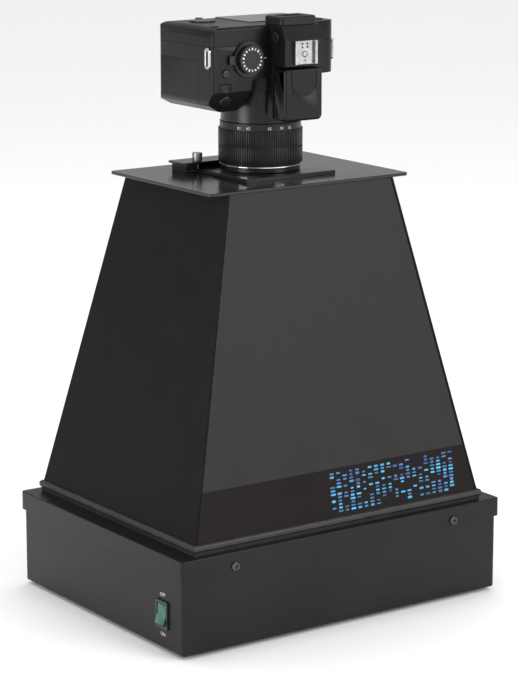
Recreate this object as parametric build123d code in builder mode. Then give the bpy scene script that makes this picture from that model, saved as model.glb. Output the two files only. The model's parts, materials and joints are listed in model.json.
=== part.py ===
"""Gel documentation system: an ultraviolet light box, a lift-off dark hood and a camera looking down into it.

Millimetres. +X runs along the wide front, -Y is the front, +Z is up.
The origin is the middle of the base's footprint, at the level of its feet.
"""

import math
import os

from build123d import *

os.makedirs("parts", exist_ok=True)

# Base: a folded sheet tray on four feet, closed by a skirted cover
base_width = 318.0
base_depth = 248.0
base_height = 81.0
foot_height = 3.0
foot_radius = 9.0
foot_inset = 24.0
sheet = 1.5
skirt_height = 15.5
cover_gap = 0.5
bend_radius = 3.0
edge_round = 0.8

# Cover screws, two in the front skirt and two in the rear
screw_spacing = 218.8
screw_drop = 11.5
screw_shank_radius = 1.95
screw_head_radius = 3.7
screw_head_height = 1.9
screw_length = 8.0
screw_slot_width = 1.0
screw_slot_depth = 1.1

# Filter window in the cover
window_size = 200.0
filter_size = 208.0
filter_thickness = 4.0
filter_gap = 0.3
frame_wall = 6.0
frame_lip = 3.0

# Ultraviolet tubes, their holders and the reflector under them
tube_count = 6
tube_pitch = 33.0
tube_radius = 8.0
tube_length = 288.0
tube_cap_length = 12.0
tube_cap_radius = 7.7
tube_pin_radius = 1.1
tube_pin_length = 6.5
tube_pin_spacing = 5.0
tube_axis_height = 59.0
holder_thickness = 7.5
holder_width = 19.0
holder_gap = 0.3
reflector_sheet = 1.0
reflector_height = 42.0
reflector_depth = 200.0
reflector_foot = 10.0
reflector_lip = 7.0

# Ballasts under the reflector
ballast_length = 150.0
ballast_width = 42.0
ballast_height = 28.0
ballast_spacing = 84.0
ballast_ear = 10.0
ballast_ear_thickness = 2.0

# Cooling fan on the rear wall
fan_x = 70.0
fan_size = 40.0
fan_depth = 10.0
fan_bore_radius = 19.0
fan_motor_radius = 11.5
fan_strut_width = 2.4
fan_floor = 2.4
fan_clearance = 0.5
fan_blade_count = 7
fan_blade_pitch = 38.0
fan_blade_thickness = 1.0
fan_shaft_radius = 1.5
running_fit = 0.05
vent_count = 9
vent_width = 2.4
vent_pitch = 4.2

# Mains inlet with its fuse drawer, on the rear wall
inlet_x = -104.0
inlet_width = 31.0
inlet_height = 48.0
inlet_z = 39.0
inlet_flange = 2.5
inlet_body_depth = 17.5
inlet_body_inset = 1.8
socket_width = 24.6
socket_height = 17.4
socket_depth = 17.0
socket_chamfer = 4.5
socket_drop = 9.5
inlet_pin_width = 2.0
inlet_pin_height = 4.0
inlet_pin_spacing = 14.0
inlet_pin_length = 14.0
earth_pin_rise = 5.2
live_pin_rise = 1.2
drawer_width = 20.0
drawer_height = 9.0
drawer_depth = 16.0
drawer_rise = 12.5
drawer_gap = 0.3
drawer_face = 1.6

# Rocker switch on the left wall
switch_y = -93.0
switch_z = 30.7
bezel_width = 16.5
bezel_height = 23.0
bezel_thickness = 1.6
switch_body_width = 14.6
switch_body_height = 20.6
switch_body_depth = 12.0
rocker_width = 11.6
rocker_radius = 8.7
rocker_gap = 0.35
rocker_pivot_depth = 2.4
rocker_tilt = 12.0
rocker_half_angle = 24.6
rocker_dip = 1.6
rocker_pin_radius = 1.2
rocker_pin_length = 0.7

# Hood: four flat walls leaning in to a square-cut top plate
hood_base_width = 287.0
hood_base_depth = 233.5
hood_top_width = 163.5
hood_top_depth = 147.0
hood_rise = 271.5
hood_sheet = 2.0
hood_seam = 0.4
angle_leg = 14.0
angle_sheet = 1.5
angle_end_gap = 6.0
seal_foot_height = 2.3
seal_foot_width = 3.6
seal_web = 2.2
seal_width = 6.5
seal_bead_height = 6.2
seal_round = 2.4
seal_mitre_gap = 0.15
plate_width = 196.0
plate_depth = 147.5
plate_thickness = 2.5
plate_corner = 4.0

# Camera holder on the top plate; the optical axis stands a little forward of the middle
axis_y = -2.0
port_radius = 31.8
adapter_width = 88.0
adapter_front = 43.5
adapter_sheet = 1.6
adapter_corner = 1.5
holder_bore_gap = 0.5
block_width = 108.0
block_depth = 20.5
block_height = 4.9
block_gap = 0.4
clamp_width = 114.0
clamp_depth = 22.5
clamp_thickness = 1.8
clamp_gap = 1.3
clamp_back_y = 48.5
clamp_back_overhang = 0.8
thumb_spacing = 78.0
thumb_y = 32.5
thumb_radius = 4.2
thumb_height = 6.4
thumb_neck = 0.4
thumb_shank_radius = 2.0
thumb_tip_gap = 0.3
knurl_count = 24
knurl_depth = 0.35

# Threaded spigot under the camera plate, with the amber filter in its ring
spigot_radius = 28.9
spigot_bore = 26.5
spigot_drop = 10.6
collar_radius = 27.7
collar_height = 3.0
filter_ring_radius = 31.5
filter_ring_height = 9.0
filter_ring_lip = 1.5
filter_ring_bore = 26.0
thread_gap = 0.05
amber_thickness = 2.0

# Zoom lens, standing on the camera plate by its front ring
lens_length = 65.8
core_radius = 30.4
core_bore = 27.9
rear_barrel_radius = 32.0
rear_barrel_front_radius = 32.6
ring_gap = 0.3
focus_ring_height = 3.8
focus_ring_radius = 32.6
trim_ring_height = 1.0
trim_ring_radius = 33.6
zoom_ring_height = 34.3
zoom_band_height = 5.9
zoom_band_radius = 33.2
rib_count = 110
rib_root_radius = 33.5
rib_crest_radius = 34.25
rib_width = 1.15
rib_margin = 0.8
rib_groove_height = 0.8
rib_groove_share = 0.48
group_length = 26.0
group_wall = 2.4
group_lift = 13.0
group_travel = 9.0
lens_thickness = 9.0
lens_sag = 3.2
lens_edge_gap = 0.1

# Camera body, lens down; its deck faces the front and its grip the left
mount_height = 1.6
mount_radius = 32.4
mount_bore = 25.0
bulge_radius = 36.0
bulge_height = 11.4
camera_depth = 42.0
grip_reach = 72.5
left_reach = 57.5
camera_drop = 42.5
camera_edge_round = 9.0
deck_round = 2.5
deck_rise = 38.0
hump_rise = 60.5
hump_half_width = 18.5
hump_overhang = 21.5
grip_inner_x = -38.0
grip_front = 13.0
grip_front_outer = 7.0
grip_skin = 5.5
grip_skin_height = 15.0
corner_round = 8.0
deck_split = 20.0
rear_split = 15.0
seam = 0.2
grip_slope_run = 12.0
grip_slope_drop = 17.0

# Pop-up flash, hot shoe and eyecup on the prism hump
flash_height = 17.0
flash_length = 42.5
flash_gap = 0.3
flash_rear_gap = 2.2
flash_round = 1.5
flash_groove_width = 0.6
flash_groove_depth = 0.5
flash_groove_half_width = 12.5
flash_groove_length = 9.5
shoe_width = 21.5
shoe_length = 18.6
shoe_base = 0.8
shoe_slot = 2.0
shoe_lip = 1.5
shoe_lip_thickness = 0.7
shoe_end_gap = 4.5
eyecup_width = 35.0
eyecup_height = 25.0
eyecup_depth = 7.0
eyecup_corner = 4.0
eyecup_window_width = 20.0
eyecup_window_height = 12.0
eyecup_rise = 54.0

# Controls on the deck
dial_x = -39.0
dial_depth_z = 26.0
dial_radius = 11.5
dial_height = 3.6
dial_boss_radius = 8.0
dial_boss_height = 2.8
dial_pin_radius = 2.0
lever_radius = 14.3
lever_height = 2.3
lever_tab_reach = 18.5
lever_tab_width = 7.0
control_gap = 0.3
iso_x = -59.5
iso_depth_z = 36.5
iso_radius = 3.4
button_rise = 1.0
button_travel = 0.7
button_length = 3.0
button_gap = 0.3
wheel_x = -60.0
wheel_depth_z = 48.0
wheel_radius = 7.5
wheel_width = 6.5
wheel_rise = 1.8
wheel_axle_radius = 1.2
wheel_axle_length = 1.2
wheel_teeth = 24
wheel_tooth_depth = 0.5
shutter_x = -57.0
shutter_radius = 5.2
shutter_slope_share = 0.46

# Controls and covers on the camera's other sides
keys_x = -47.0
keys_y = 12.0
keys_radius = 10.5
keys_rise = 1.2
small_button_radius = 3.2
menu_x = 42.0
menu_y = -24.0
play_x = -37.0
play_y = 32.0
lock_x = -63.0
lock_y = -29.0
screen_x = 14.0
screen_y = 10.5
screen_width = 68.0
screen_height = 51.0
screen_thickness = 1.2
screen_proud = 0.5
screen_corner = 3.0
release_x = 42.0
release_y = 12.0
release_radius = 4.2
release_travel = 1.5
diopter_radius = 4.0
diopter_thickness = 2.4
diopter_rise = 50.0
diopter_depth_z = 9.0
diopter_pin_radius = 1.2
battery_door_width = 38.0
battery_door_height = 20.0
battery_door_x = -45.0
battery_door_z_drop = 28.0
door_thickness = 2.4
door_gap = 0.3
port_cover_length = 30.0
port_cover_height = 15.0
port_cover_y = 6.0
port_cover_z_drop = 25.0
port_cover_thickness = 1.8
lug_length = 17.0
lug_width = 7.0
lug_thickness = 1.8
lug_slot_length = 12.0
lug_slot_width = 2.6
lug_rise = 32.5
lug_z_drop = 24.0
tripod_hole_radius = 2.6
tripod_hole_depth = 8.0

# Levels and half sizes that follow from the sizes above
tray_width = base_width - 2 * (sheet + cover_gap)
tray_depth = base_depth - 2 * (sheet + cover_gap)
tray_floor = foot_height + sheet
cover_underside = base_height - sheet
hood_top = base_height + hood_rise
plate_top = hood_top + plate_thickness
adapter_top = plate_top + adapter_sheet
holder_top = adapter_top + adapter_sheet
flange_z = holder_top + lens_length
body_front = flange_z + mount_height + bulge_height
body_back = body_front + camera_depth
deck_y = axis_y - deck_rise
hump_y = axis_y - hump_rise
bottom_y = axis_y + camera_drop


def hood_half(z):
    """Half width and half depth of the hood's outer face at height z."""
    share = (z - base_height) / hood_rise
    half_width = hood_base_width / 2 + share * (hood_top_width - hood_base_width) / 2
    half_depth = hood_base_depth / 2 + share * (hood_top_depth - hood_base_depth) / 2
    return half_width, half_depth


# Folded tray: floor and four walls, open at the top
with BuildPart() as base_tray:
    with BuildSketch(Plane.XY.offset(foot_height)):
        RectangleRounded(tray_width, tray_depth, bend_radius)
    extrude(amount=cover_underside - foot_height)
    fillet(base_tray.faces().sort_by(Axis.Z)[0].edges(), sheet)
    with BuildSketch(Plane.XY.offset(tray_floor)):
        RectangleRounded(tray_width - 2 * sheet, tray_depth - 2 * sheet, bend_radius - sheet)
    extrude(amount=cover_underside - tray_floor, mode=Mode.SUBTRACT)
    # Switch hole in the left wall
    with BuildSketch(Plane.YZ.offset(-tray_width / 2 - sheet)):
        with Locations((switch_y, switch_z)):
            Rectangle(switch_body_width + 2 * cover_gap, switch_body_height + 2 * cover_gap)
    extrude(amount=4 * sheet, mode=Mode.SUBTRACT)
    # Inlet hole, fan grille and cover screw holes in the rear wall
    with BuildSketch(Plane.XZ.offset(-tray_depth / 2 - sheet)):
        with Locations((inlet_x, inlet_z)):
            Rectangle(inlet_width - 2 * inlet_body_inset + cover_gap, inlet_height - 2 * inlet_body_inset + cover_gap)
        with Locations((fan_x, tray_floor + 1 + fan_size / 2)):
            for step in range(vent_count):
                across = (step - (vent_count - 1) / 2) * vent_pitch
                length = 2 * math.sqrt((fan_bore_radius - 1) ** 2 - across**2)
                with Locations((across, 0)):
                    SlotOverall(length, vent_width, rotation=90)
    extrude(amount=4 * sheet, mode=Mode.SUBTRACT)
    with BuildSketch(Plane.XZ):
        with Locations((0, base_height - screw_drop)):
            with GridLocations(screw_spacing, 1, 2, 1):
                Circle(screw_shank_radius + running_fit)
    extrude(amount=base_depth, both=True, mode=Mode.SUBTRACT)
    # Air intake slots in the floor
    with BuildSketch(Plane.XY):
        with GridLocations(vent_pitch * 2, 1, vent_count + 4, 1):
            SlotOverall(30, vent_width + 0.6, rotation=90)
    extrude(amount=2 * foot_height, mode=Mode.SUBTRACT)

# Cover: flat top with a window and a skirt round the tray
with BuildPart() as base_cover:
    with BuildSketch(Plane.XY.offset(base_height - skirt_height)):
        RectangleRounded(base_width, base_depth, bend_radius)
    extrude(amount=skirt_height)
    fillet(base_cover.faces().sort_by(Axis.Z)[-1].edges(), edge_round)
    with BuildSketch(Plane.XY.offset(base_height - skirt_height)):
        RectangleRounded(base_width - 2 * sheet, base_depth - 2 * sheet, bend_radius - sheet)
    extrude(amount=skirt_height - sheet, mode=Mode.SUBTRACT)
    with BuildSketch(Plane.XY.offset(cover_underside)):
        RectangleRounded(window_size, window_size, bend_radius)
    extrude(amount=sheet, mode=Mode.SUBTRACT)
    with BuildSketch(Plane.XZ):
        with Locations((0, base_height - screw_drop)):
            with GridLocations(screw_spacing, 1, 2, 1):
                Circle(screw_shank_radius + cover_gap / 2)
    extrude(amount=base_depth, both=True, mode=Mode.SUBTRACT)

# Pan-head screws through the skirt into the tray
with BuildPart() as cover_screws:
    with BuildSketch(Plane.XZ.offset(base_depth / 2)):
        with Locations((0, base_height - screw_drop)):
            with GridLocations(screw_spacing, 1, 2, 1):
                Circle(screw_head_radius)
    extrude(amount=screw_head_height)
    fillet(cover_screws.faces().sort_by(Axis.Y)[:2].edges(), screw_head_height * 0.6)
    with BuildSketch(Plane.XZ.offset(base_depth / 2 + screw_head_height)):
        with Locations((0, base_height - screw_drop)):
            with GridLocations(screw_spacing, 1, 2, 1):
                Rectangle(screw_head_radius * 1.1, screw_slot_width)
                Rectangle(screw_slot_width, screw_head_radius * 1.1)
    extrude(amount=-screw_slot_depth, mode=Mode.SUBTRACT)
    with BuildSketch(Plane.XZ.offset(base_depth / 2)):
        with Locations((0, base_height - screw_drop)):
            with GridLocations(screw_spacing, 1, 2, 1):
                Circle(screw_shank_radius)
    extrude(amount=-screw_length)
    mirror(about=Plane.XZ)

# Rubber feet stuck under the tray
with BuildPart() as rubber_feet:
    with BuildSketch(Plane.XY):
        with GridLocations(tray_width - 2 * foot_inset, tray_depth - 2 * foot_inset, 2, 2):
            Circle(foot_radius)
    extrude(amount=foot_height)
    chamfer(rubber_feet.faces().group_by(Axis.Z)[0].edges(), foot_height / 3)

# Ultraviolet-passing filter glass under the cover's window
with BuildPart() as filter_glass:
    with BuildSketch(Plane.XY.offset(cover_underside)):
        Rectangle(filter_size, filter_size)
    extrude(amount=-filter_thickness)

# Frame that carries the glass, stepped for it, with a lip below
with BuildPart() as filter_frame:
    frame_size = filter_size + 2 * (filter_gap + frame_wall)
    with BuildSketch(Plane.XY.offset(cover_underside)):
        Rectangle(frame_size, frame_size)
    extrude(amount=-filter_thickness - frame_lip)
    with BuildSketch(Plane.XY.offset(cover_underside)):
        Rectangle(filter_size + 2 * filter_gap, filter_size + 2 * filter_gap)
    extrude(amount=-filter_thickness, mode=Mode.SUBTRACT)
    with BuildSketch(Plane.XY.offset(cover_underside)):
        Rectangle(window_size, window_size)
    extrude(amount=-filter_thickness - frame_lip, mode=Mode.SUBTRACT)

# Folded reflector: a table over the ballasts, with feet on the tray's floor and raised lips
with BuildPart() as lamp_reflector:
    half = reflector_depth / 2
    with BuildSketch(Plane.YZ):
        with BuildLine():
            Polyline(
                (half - reflector_foot, tray_floor),
                (half, tray_floor),
                (half, reflector_height + reflector_lip),
                (half - reflector_sheet, reflector_height + reflector_lip),
                (half - reflector_sheet, reflector_height),
                (-half + reflector_sheet, reflector_height),
                (-half + reflector_sheet, reflector_height + reflector_lip),
                (-half, reflector_height + reflector_lip),
                (-half, tray_floor),
                (-half + reflector_foot, tray_floor),
                (-half + reflector_foot, tray_floor + reflector_sheet),
                (-half + reflector_sheet, tray_floor + reflector_sheet),
                (-half + reflector_sheet, reflector_height - reflector_sheet),
                (half - reflector_sheet, reflector_height - reflector_sheet),
                (half - reflector_sheet, tray_floor + reflector_sheet),
                (half - reflector_foot, tray_floor + reflector_sheet),
                close=True,
            )
        make_face()
    extrude(amount=tube_length / 2, both=True)
    # Air windows in both legs
    with BuildSketch(Plane.XZ):
        with Locations((0, (tray_floor + reflector_height) / 2)):
            with GridLocations(60, 1, 4, 1):
                SlotOverall(40, 20)
    extrude(amount=reflector_depth, both=True, mode=Mode.SUBTRACT)

# Fluorescent ultraviolet tubes with their end caps and contact pins
tube_profile = [
    (0, 0),
    (tube_length / 2, 0),
    (tube_length / 2, tube_cap_radius),
    (tube_length / 2 - tube_cap_length, tube_cap_radius),
    (tube_length / 2 - tube_cap_length, tube_radius),
    (0, tube_radius),
]
with BuildPart() as uv_tubes:
    for step in range(tube_count):
        tube_y = (step - (tube_count - 1) / 2) * tube_pitch
        tube_plane = Plane((0, tube_y, tube_axis_height), x_dir=(1, 0, 0), z_dir=(0, -1, 0))
        with BuildSketch(tube_plane):
            Polygon(*tube_profile, align=None)
        revolve(axis=Axis((0, tube_y, tube_axis_height), (1, 0, 0)))
        for side in (-1, 1):
            with BuildSketch(Plane((side * tube_length / 2, tube_y, tube_axis_height), (0, 1, 0), (side, 0, 0))):
                with GridLocations(tube_pin_spacing, tube_pin_spacing, 1, 2):
                    Circle(tube_pin_radius)
            extrude(amount=tube_pin_length)
    mirror(about=Plane.YZ)

# Lamp holders, standing on the reflector's ends on a foot each
with BuildPart() as lamp_holders:
    holder_low = reflector_height
    holder_high = tube_axis_height + tube_cap_radius
    for step in range(tube_count):
        tube_y = (step - (tube_count - 1) / 2) * tube_pitch
        with BuildSketch(Plane((tube_length / 2 + holder_gap, tube_y, 0), x_dir=(0, 1, 0), z_dir=(1, 0, 0))):
            with Locations((0, (holder_low + holder_high) / 2)):
                RectangleRounded(holder_width, holder_high - holder_low, 3)
            with Locations((0, tube_axis_height)):
                SlotOverall(
                    tube_pin_spacing + 2 * (tube_pin_radius + running_fit),
                    2 * (tube_pin_radius + running_fit),
                    rotation=90,
                    mode=Mode.SUBTRACT,
                )
        extrude(amount=holder_thickness)
        with BuildSketch(Plane.XY.offset(reflector_height)):
            with Locations((tube_length / 2 - tube_cap_length / 2, tube_y)):
                Rectangle(tube_cap_length + 2 * holder_gap + 0.4, holder_width - 6)
        extrude(amount=reflector_sheet)
    mirror(about=Plane.YZ)

# Ballasts on the tray's floor, with a fixing ear at each end
with BuildPart() as ballasts:
    with BuildSketch(Plane.XY.offset(tray_floor)):
        with GridLocations(1, ballast_spacing, 1, 2):
            RectangleRounded(ballast_length, ballast_width, 2)
    extrude(amount=ballast_height)
    with BuildSketch(Plane.XY.offset(tray_floor)):
        with GridLocations(1, ballast_spacing, 1, 2):
            Rectangle(ballast_length + 2 * ballast_ear, ballast_width * 0.6)
            with GridLocations(ballast_length + ballast_ear, 1, 2, 1):
                Circle(2.2, mode=Mode.SUBTRACT)
    extrude(amount=ballast_ear_thickness)

# Fan frame: square housing, motor disc and four struts against the rear wall
fan_y = tray_depth / 2 - sheet
fan_z = tray_floor + 1 + fan_size / 2
fan_plane = Plane((fan_x, fan_y, fan_z), x_dir=(-1, 0, 0), z_dir=(0, -1, 0))
with BuildPart() as cooling_fan:
    with BuildSketch(fan_plane):
        RectangleRounded(fan_size, fan_size, 3)
        Circle(fan_bore_radius, mode=Mode.SUBTRACT)
    extrude(amount=fan_depth)
    with BuildSketch(fan_plane):
        Circle(fan_motor_radius)
        Rectangle(2 * fan_bore_radius + 1, fan_strut_width, rotation=45)
        Rectangle(2 * fan_bore_radius + 1, fan_strut_width, rotation=-45)
    extrude(amount=fan_floor)
    with BuildSketch(fan_plane):
        Circle(fan_shaft_radius + running_fit)
    extrude(amount=fan_floor, mode=Mode.SUBTRACT)

# Fan rotor: hub, pitched blades and the shaft that runs in the motor disc
with BuildPart() as fan_rotor:
    with BuildSketch(fan_plane.offset(fan_floor + fan_clearance)):
        Circle(fan_motor_radius)
    extrude(amount=fan_depth - fan_floor - 2 * fan_clearance)
    with BuildSketch(fan_plane.offset(fan_clearance)):
        Circle(fan_shaft_radius)
    extrude(amount=fan_floor)
    blade_reach = fan_bore_radius - fan_clearance - fan_motor_radius
    blade_chord = (fan_depth - fan_floor - 3 * fan_clearance) / math.cos(math.radians(fan_blade_pitch))
    blade_middle = fan_floor + (fan_depth - fan_floor) / 2
    for step in range(fan_blade_count):
        turn = Location(fan_plane.offset(blade_middle)) * Rot(0, 0, step * 360 / fan_blade_count)
        blade_at = turn * Location((fan_motor_radius + blade_reach / 2 - 0.6, 0, 0), (90 - fan_blade_pitch, 0, 0))
        add(Box(blade_reach, blade_chord * 0.8, fan_blade_thickness, mode=Mode.PRIVATE).moved(blade_at))

# Mains inlet: flange, moulded body, plug socket with three blades, and a well for the fuse drawer
inlet_face = Plane((inlet_x, tray_depth / 2, inlet_z), x_dir=(-1, 0, 0), z_dir=(0, 1, 0))
socket_v = -socket_drop
with BuildPart() as power_inlet:
    with BuildSketch(inlet_face):
        RectangleRounded(inlet_width, inlet_height, 2)
    extrude(amount=inlet_flange)
    with BuildSketch(inlet_face):
        Rectangle(inlet_width - 2 * inlet_body_inset, inlet_height - 2 * inlet_body_inset)
    extrude(amount=-inlet_body_depth)
    with BuildSketch(inlet_face.offset(inlet_flange)):
        with Locations((0, socket_v)):
            socket_outline = Rectangle(socket_width, socket_height)
            chamfer(socket_outline.vertices().group_by(Axis.Y)[0], socket_chamfer)
    extrude(amount=-socket_depth, mode=Mode.SUBTRACT)
    with BuildSketch(inlet_face.offset(inlet_flange)):
        with Locations((0, drawer_rise)):
            Rectangle(drawer_width + 2 * drawer_gap, drawer_height + 2 * drawer_gap)
    extrude(amount=-drawer_depth - drawer_gap, mode=Mode.SUBTRACT)
    with BuildSketch(inlet_face.offset(inlet_flange - socket_depth)):
        with Locations((0, socket_v + earth_pin_rise)):
            Rectangle(inlet_pin_width, inlet_pin_height)
        with Locations((0, socket_v + live_pin_rise)):
            with GridLocations(inlet_pin_spacing, 1, 2, 1):
                Rectangle(inlet_pin_width, inlet_pin_height)
    extrude(amount=inlet_pin_length)

# Fuse drawer, pulled straight out by its ribbed face
with BuildPart() as fuse_drawer:
    with BuildSketch(inlet_face.offset(inlet_flange)):
        with Locations((0, drawer_rise)):
            Rectangle(drawer_width, drawer_height)
    extrude(amount=-drawer_depth)
    with BuildSketch(inlet_face.offset(inlet_flange + drawer_gap)):
        with Locations((0, drawer_rise)):
            RectangleRounded(drawer_width + 3, drawer_height + 2, 1)
    extrude(amount=drawer_face)
    with BuildSketch(inlet_face.offset(inlet_flange)):
        with Locations((0, drawer_rise)):
            Rectangle(drawer_width, drawer_height)
    extrude(amount=drawer_gap)
    with BuildSketch(inlet_face.offset(inlet_flange - drawer_face)):
        with Locations((0, drawer_rise)):
            with GridLocations(drawer_width / 2, 1, 2, 1):
                Rectangle(drawer_width / 2 - 2, drawer_height - 2)
    extrude(amount=-drawer_depth + 2 * drawer_face, mode=Mode.SUBTRACT)

# Rocker switch housing: bezel outside the wall, body inside, round-bottomed well
switch_face = Plane((-tray_width / 2, switch_y, switch_z), x_dir=(0, -1, 0), z_dir=(-1, 0, 0))
pivot_x = -tray_width / 2 - bezel_thickness + rocker_pivot_depth
well_radius = rocker_radius + rocker_gap
with BuildPart() as switch_housing:
    with BuildSketch(switch_face):
        RectangleRounded(bezel_width, bezel_height, 1)
    extrude(amount=bezel_thickness)
    with BuildSketch(switch_face):
        Rectangle(switch_body_width, switch_body_height)
    extrude(amount=-switch_body_depth)
    with BuildSketch(Plane((pivot_x, switch_y, switch_z), x_dir=(1, 0, 0), z_dir=(0, -1, 0))):
        Circle(well_radius)
        with Locations((-well_radius, 0)):
            Rectangle(2 * well_radius, 2 * well_radius)
    extrude(amount=rocker_width / 2 + rocker_gap, both=True, mode=Mode.SUBTRACT)
    with BuildSketch(Plane((pivot_x, switch_y, switch_z), x_dir=(1, 0, 0), z_dir=(0, -1, 0))):
        Circle(rocker_pin_radius + running_fit)
    extrude(amount=rocker_width / 2 + rocker_gap + rocker_pin_length, both=True, mode=Mode.SUBTRACT)

# Rocker: a segment about its pivot with a shallow vee face, at rest with its upper end pressed in
with BuildPart() as switch_rocker:
    edge_out = rocker_radius * math.sin(math.radians(rocker_half_angle))
    edge_up = rocker_radius * math.cos(math.radians(rocker_half_angle))
    with BuildSketch(Plane((pivot_x, switch_y, switch_z), x_dir=(1, 0, 0), z_dir=(0, -1, 0))):
        Circle(rocker_radius)
        with BuildLine():
            Polyline(
                (-edge_out, edge_up),
                (-edge_out + rocker_dip, 0),
                (-edge_out, -edge_up),
                (-2 * rocker_radius, -2 * rocker_radius),
                (-2 * rocker_radius, 2 * rocker_radius),
                close=True,
            )
        make_face(mode=Mode.SUBTRACT)
    extrude(amount=rocker_width / 2, both=True)
    with BuildSketch(Plane((pivot_x, switch_y, switch_z), x_dir=(1, 0, 0), z_dir=(0, -1, 0))):
        Circle(rocker_pin_radius)
    extrude(amount=rocker_width / 2 + rocker_gap + rocker_pin_length - running_fit, both=True)
rocker_axis = Axis((pivot_x, switch_y, switch_z), (0, 1, 0))
switch_rocker.part = switch_rocker.part.rotate(rocker_axis, rocker_tilt)


# Hood walls, each a flat sheet between the seal and the top plate
panel_bottom = base_height + seal_foot_height + seal_web
lean_x = math.hypot(hood_rise, (hood_base_width - hood_top_width) / 2) / hood_rise
lean_y = math.hypot(hood_rise, (hood_base_depth - hood_top_depth) / 2) / hood_rise
wall_x = hood_sheet * lean_x
wall_y = hood_sheet * lean_y
panel_levels = (panel_bottom, hood_top)

with BuildPart() as hood_left_panel:
    for z in panel_levels:
        half_width, half_depth = hood_half(z)
        with BuildSketch(Plane.XY.offset(z)):
            with Locations((-half_width + wall_x / 2, 0)):
                Rectangle(wall_x, 2 * half_depth)
    loft(ruled=True)

with BuildPart() as hood_right_panel:
    add(hood_left_panel.part)
    mirror(about=Plane.YZ)
    with BuildSketch(Plane.XY.offset(base_height)):
        with Locations((-base_width / 4, 0)):
            Rectangle(base_width / 2, base_depth)
    extrude(amount=hood_rise, mode=Mode.SUBTRACT)

with BuildPart() as hood_front_panel:
    for z in panel_levels:
        half_width, half_depth = hood_half(z)
        with BuildSketch(Plane.XY.offset(z)):
            with Locations((0, -half_depth + wall_y / 2)):
                Rectangle(2 * (half_width - wall_x - hood_seam), wall_y)
    loft(ruled=True)

with BuildPart() as hood_rear_panel:
    for z in panel_levels:
        half_width, half_depth = hood_half(z)
        with BuildSketch(Plane.XY.offset(z)):
            with Locations((0, half_depth - wall_y / 2)):
                Rectangle(2 * (half_width - wall_x - hood_seam), wall_y)
    loft(ruled=True)

# Angle strips up the four inner corners, where the walls are joined
with BuildPart() as hood_corner_angles:
    for z in (base_height + seal_foot_height + seal_bead_height + angle_end_gap, hood_top - angle_end_gap):
        half_width, half_depth = hood_half(z)
        corner_x = -half_width + wall_x
        corner_y = -half_depth + wall_y
        with BuildSketch(Plane.XY.offset(z)):
            with Locations((corner_x, corner_y)):
                Rectangle(angle_leg, angle_sheet, align=(Align.MIN, Align.MIN))
                Rectangle(angle_sheet, angle_leg, align=(Align.MIN, Align.MIN))
    loft(ruled=True)
    mirror(about=Plane.XZ)
    mirror(about=Plane.YZ)


def seal_strip(outer_length, outer_reach):
    """One straight strip of the seal, along the front, mitred at both ends."""
    bead_bottom = base_height + seal_foot_height
    with BuildPart(mode=Mode.PRIVATE) as strip:
        with BuildSketch(Plane.YZ):
            with Locations((-outer_reach + seal_width / 2, bead_bottom + seal_bead_height / 2)):
                RectangleRounded(seal_width, seal_bead_height, seal_round)
            with Locations((-outer_reach + seal_width / 2, base_height + seal_foot_height)):
                Rectangle(seal_foot_width, 2 * seal_foot_height)
        extrude(amount=outer_length / 2, both=True)
        half = outer_length / 2 - seal_mitre_gap
        with BuildSketch(Plane.XY.offset(base_height)):
            Polygon(
                (-half, -outer_reach),
                (half, -outer_reach),
                (half - seal_width, -outer_reach + seal_width),
                (-half + seal_width, -outer_reach + seal_width),
                align=None,
            )
        extrude(amount=seal_foot_height + seal_bead_height, mode=Mode.INTERSECT)
    return strip.part


# Edge seal: a rounded bead over the walls' lower edges with a foam foot on the cover
bead_half_width, bead_half_depth = hood_half(base_height + seal_foot_height + seal_bead_height / 2)
seal_reach_x = bead_half_width - wall_x / 2 + seal_width / 2
seal_reach_y = bead_half_depth - wall_y / 2 + seal_width / 2
front_strip = seal_strip(2 * seal_reach_x, seal_reach_y)
side_strip = seal_strip(2 * seal_reach_y, seal_reach_x)
with BuildPart() as hood_edge_seal:
    for turn, strip in ((0, front_strip), (180, front_strip), (90, side_strip), (270, side_strip)):
        add(strip, rotation=(0, 0, turn))
    for wall in (hood_left_panel, hood_right_panel, hood_front_panel, hood_rear_panel):
        add(wall.part, mode=Mode.SUBTRACT)

# Top plate, wider than the hood, with the port for the optics
with BuildPart() as top_plate:
    with BuildSketch(Plane.XY.offset(hood_top)):
        RectangleRounded(plate_width, plate_depth, plate_corner)
        with Locations((0, axis_y)):
            Circle(port_radius, mode=Mode.SUBTRACT)
    extrude(amount=plate_thickness)

# Adapter plate fixed on the top plate, wider at the back under the clamp
block_front_y = clamp_back_y - clamp_back_overhang - block_depth
block_back_y = clamp_back_y - clamp_back_overhang
adapter_front_y = axis_y - adapter_front
with BuildPart() as adapter_plate:
    with BuildSketch(Plane.XY.offset(plate_top)):
        with Locations((0, adapter_front_y)):
            Rectangle(adapter_width, block_back_y - adapter_front_y, align=(Align.CENTER, Align.MIN))
        with Locations((0, block_front_y)):
            Rectangle(block_width, block_depth, align=(Align.CENTER, Align.MIN))
        with Locations((0, axis_y)):
            Circle(spigot_radius + holder_bore_gap, mode=Mode.SUBTRACT)
    extrude(amount=adapter_sheet)

# Clamp block: three sides of a pocket for the camera plate's tail
pocket_back_y = block_back_y - block_depth / 2 + 2
with BuildPart() as clamp_block:
    with BuildSketch(Plane.XY.offset(adapter_top)):
        with Locations((0, block_front_y)):
            Rectangle(block_width, block_depth, align=(Align.CENTER, Align.MIN))
        with Locations((0, block_front_y)):
            Rectangle(
                adapter_width + 2 * block_gap,
                pocket_back_y - block_front_y,
                align=(Align.CENTER, Align.MIN),
                mode=Mode.SUBTRACT,
            )
    extrude(amount=block_height)

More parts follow.
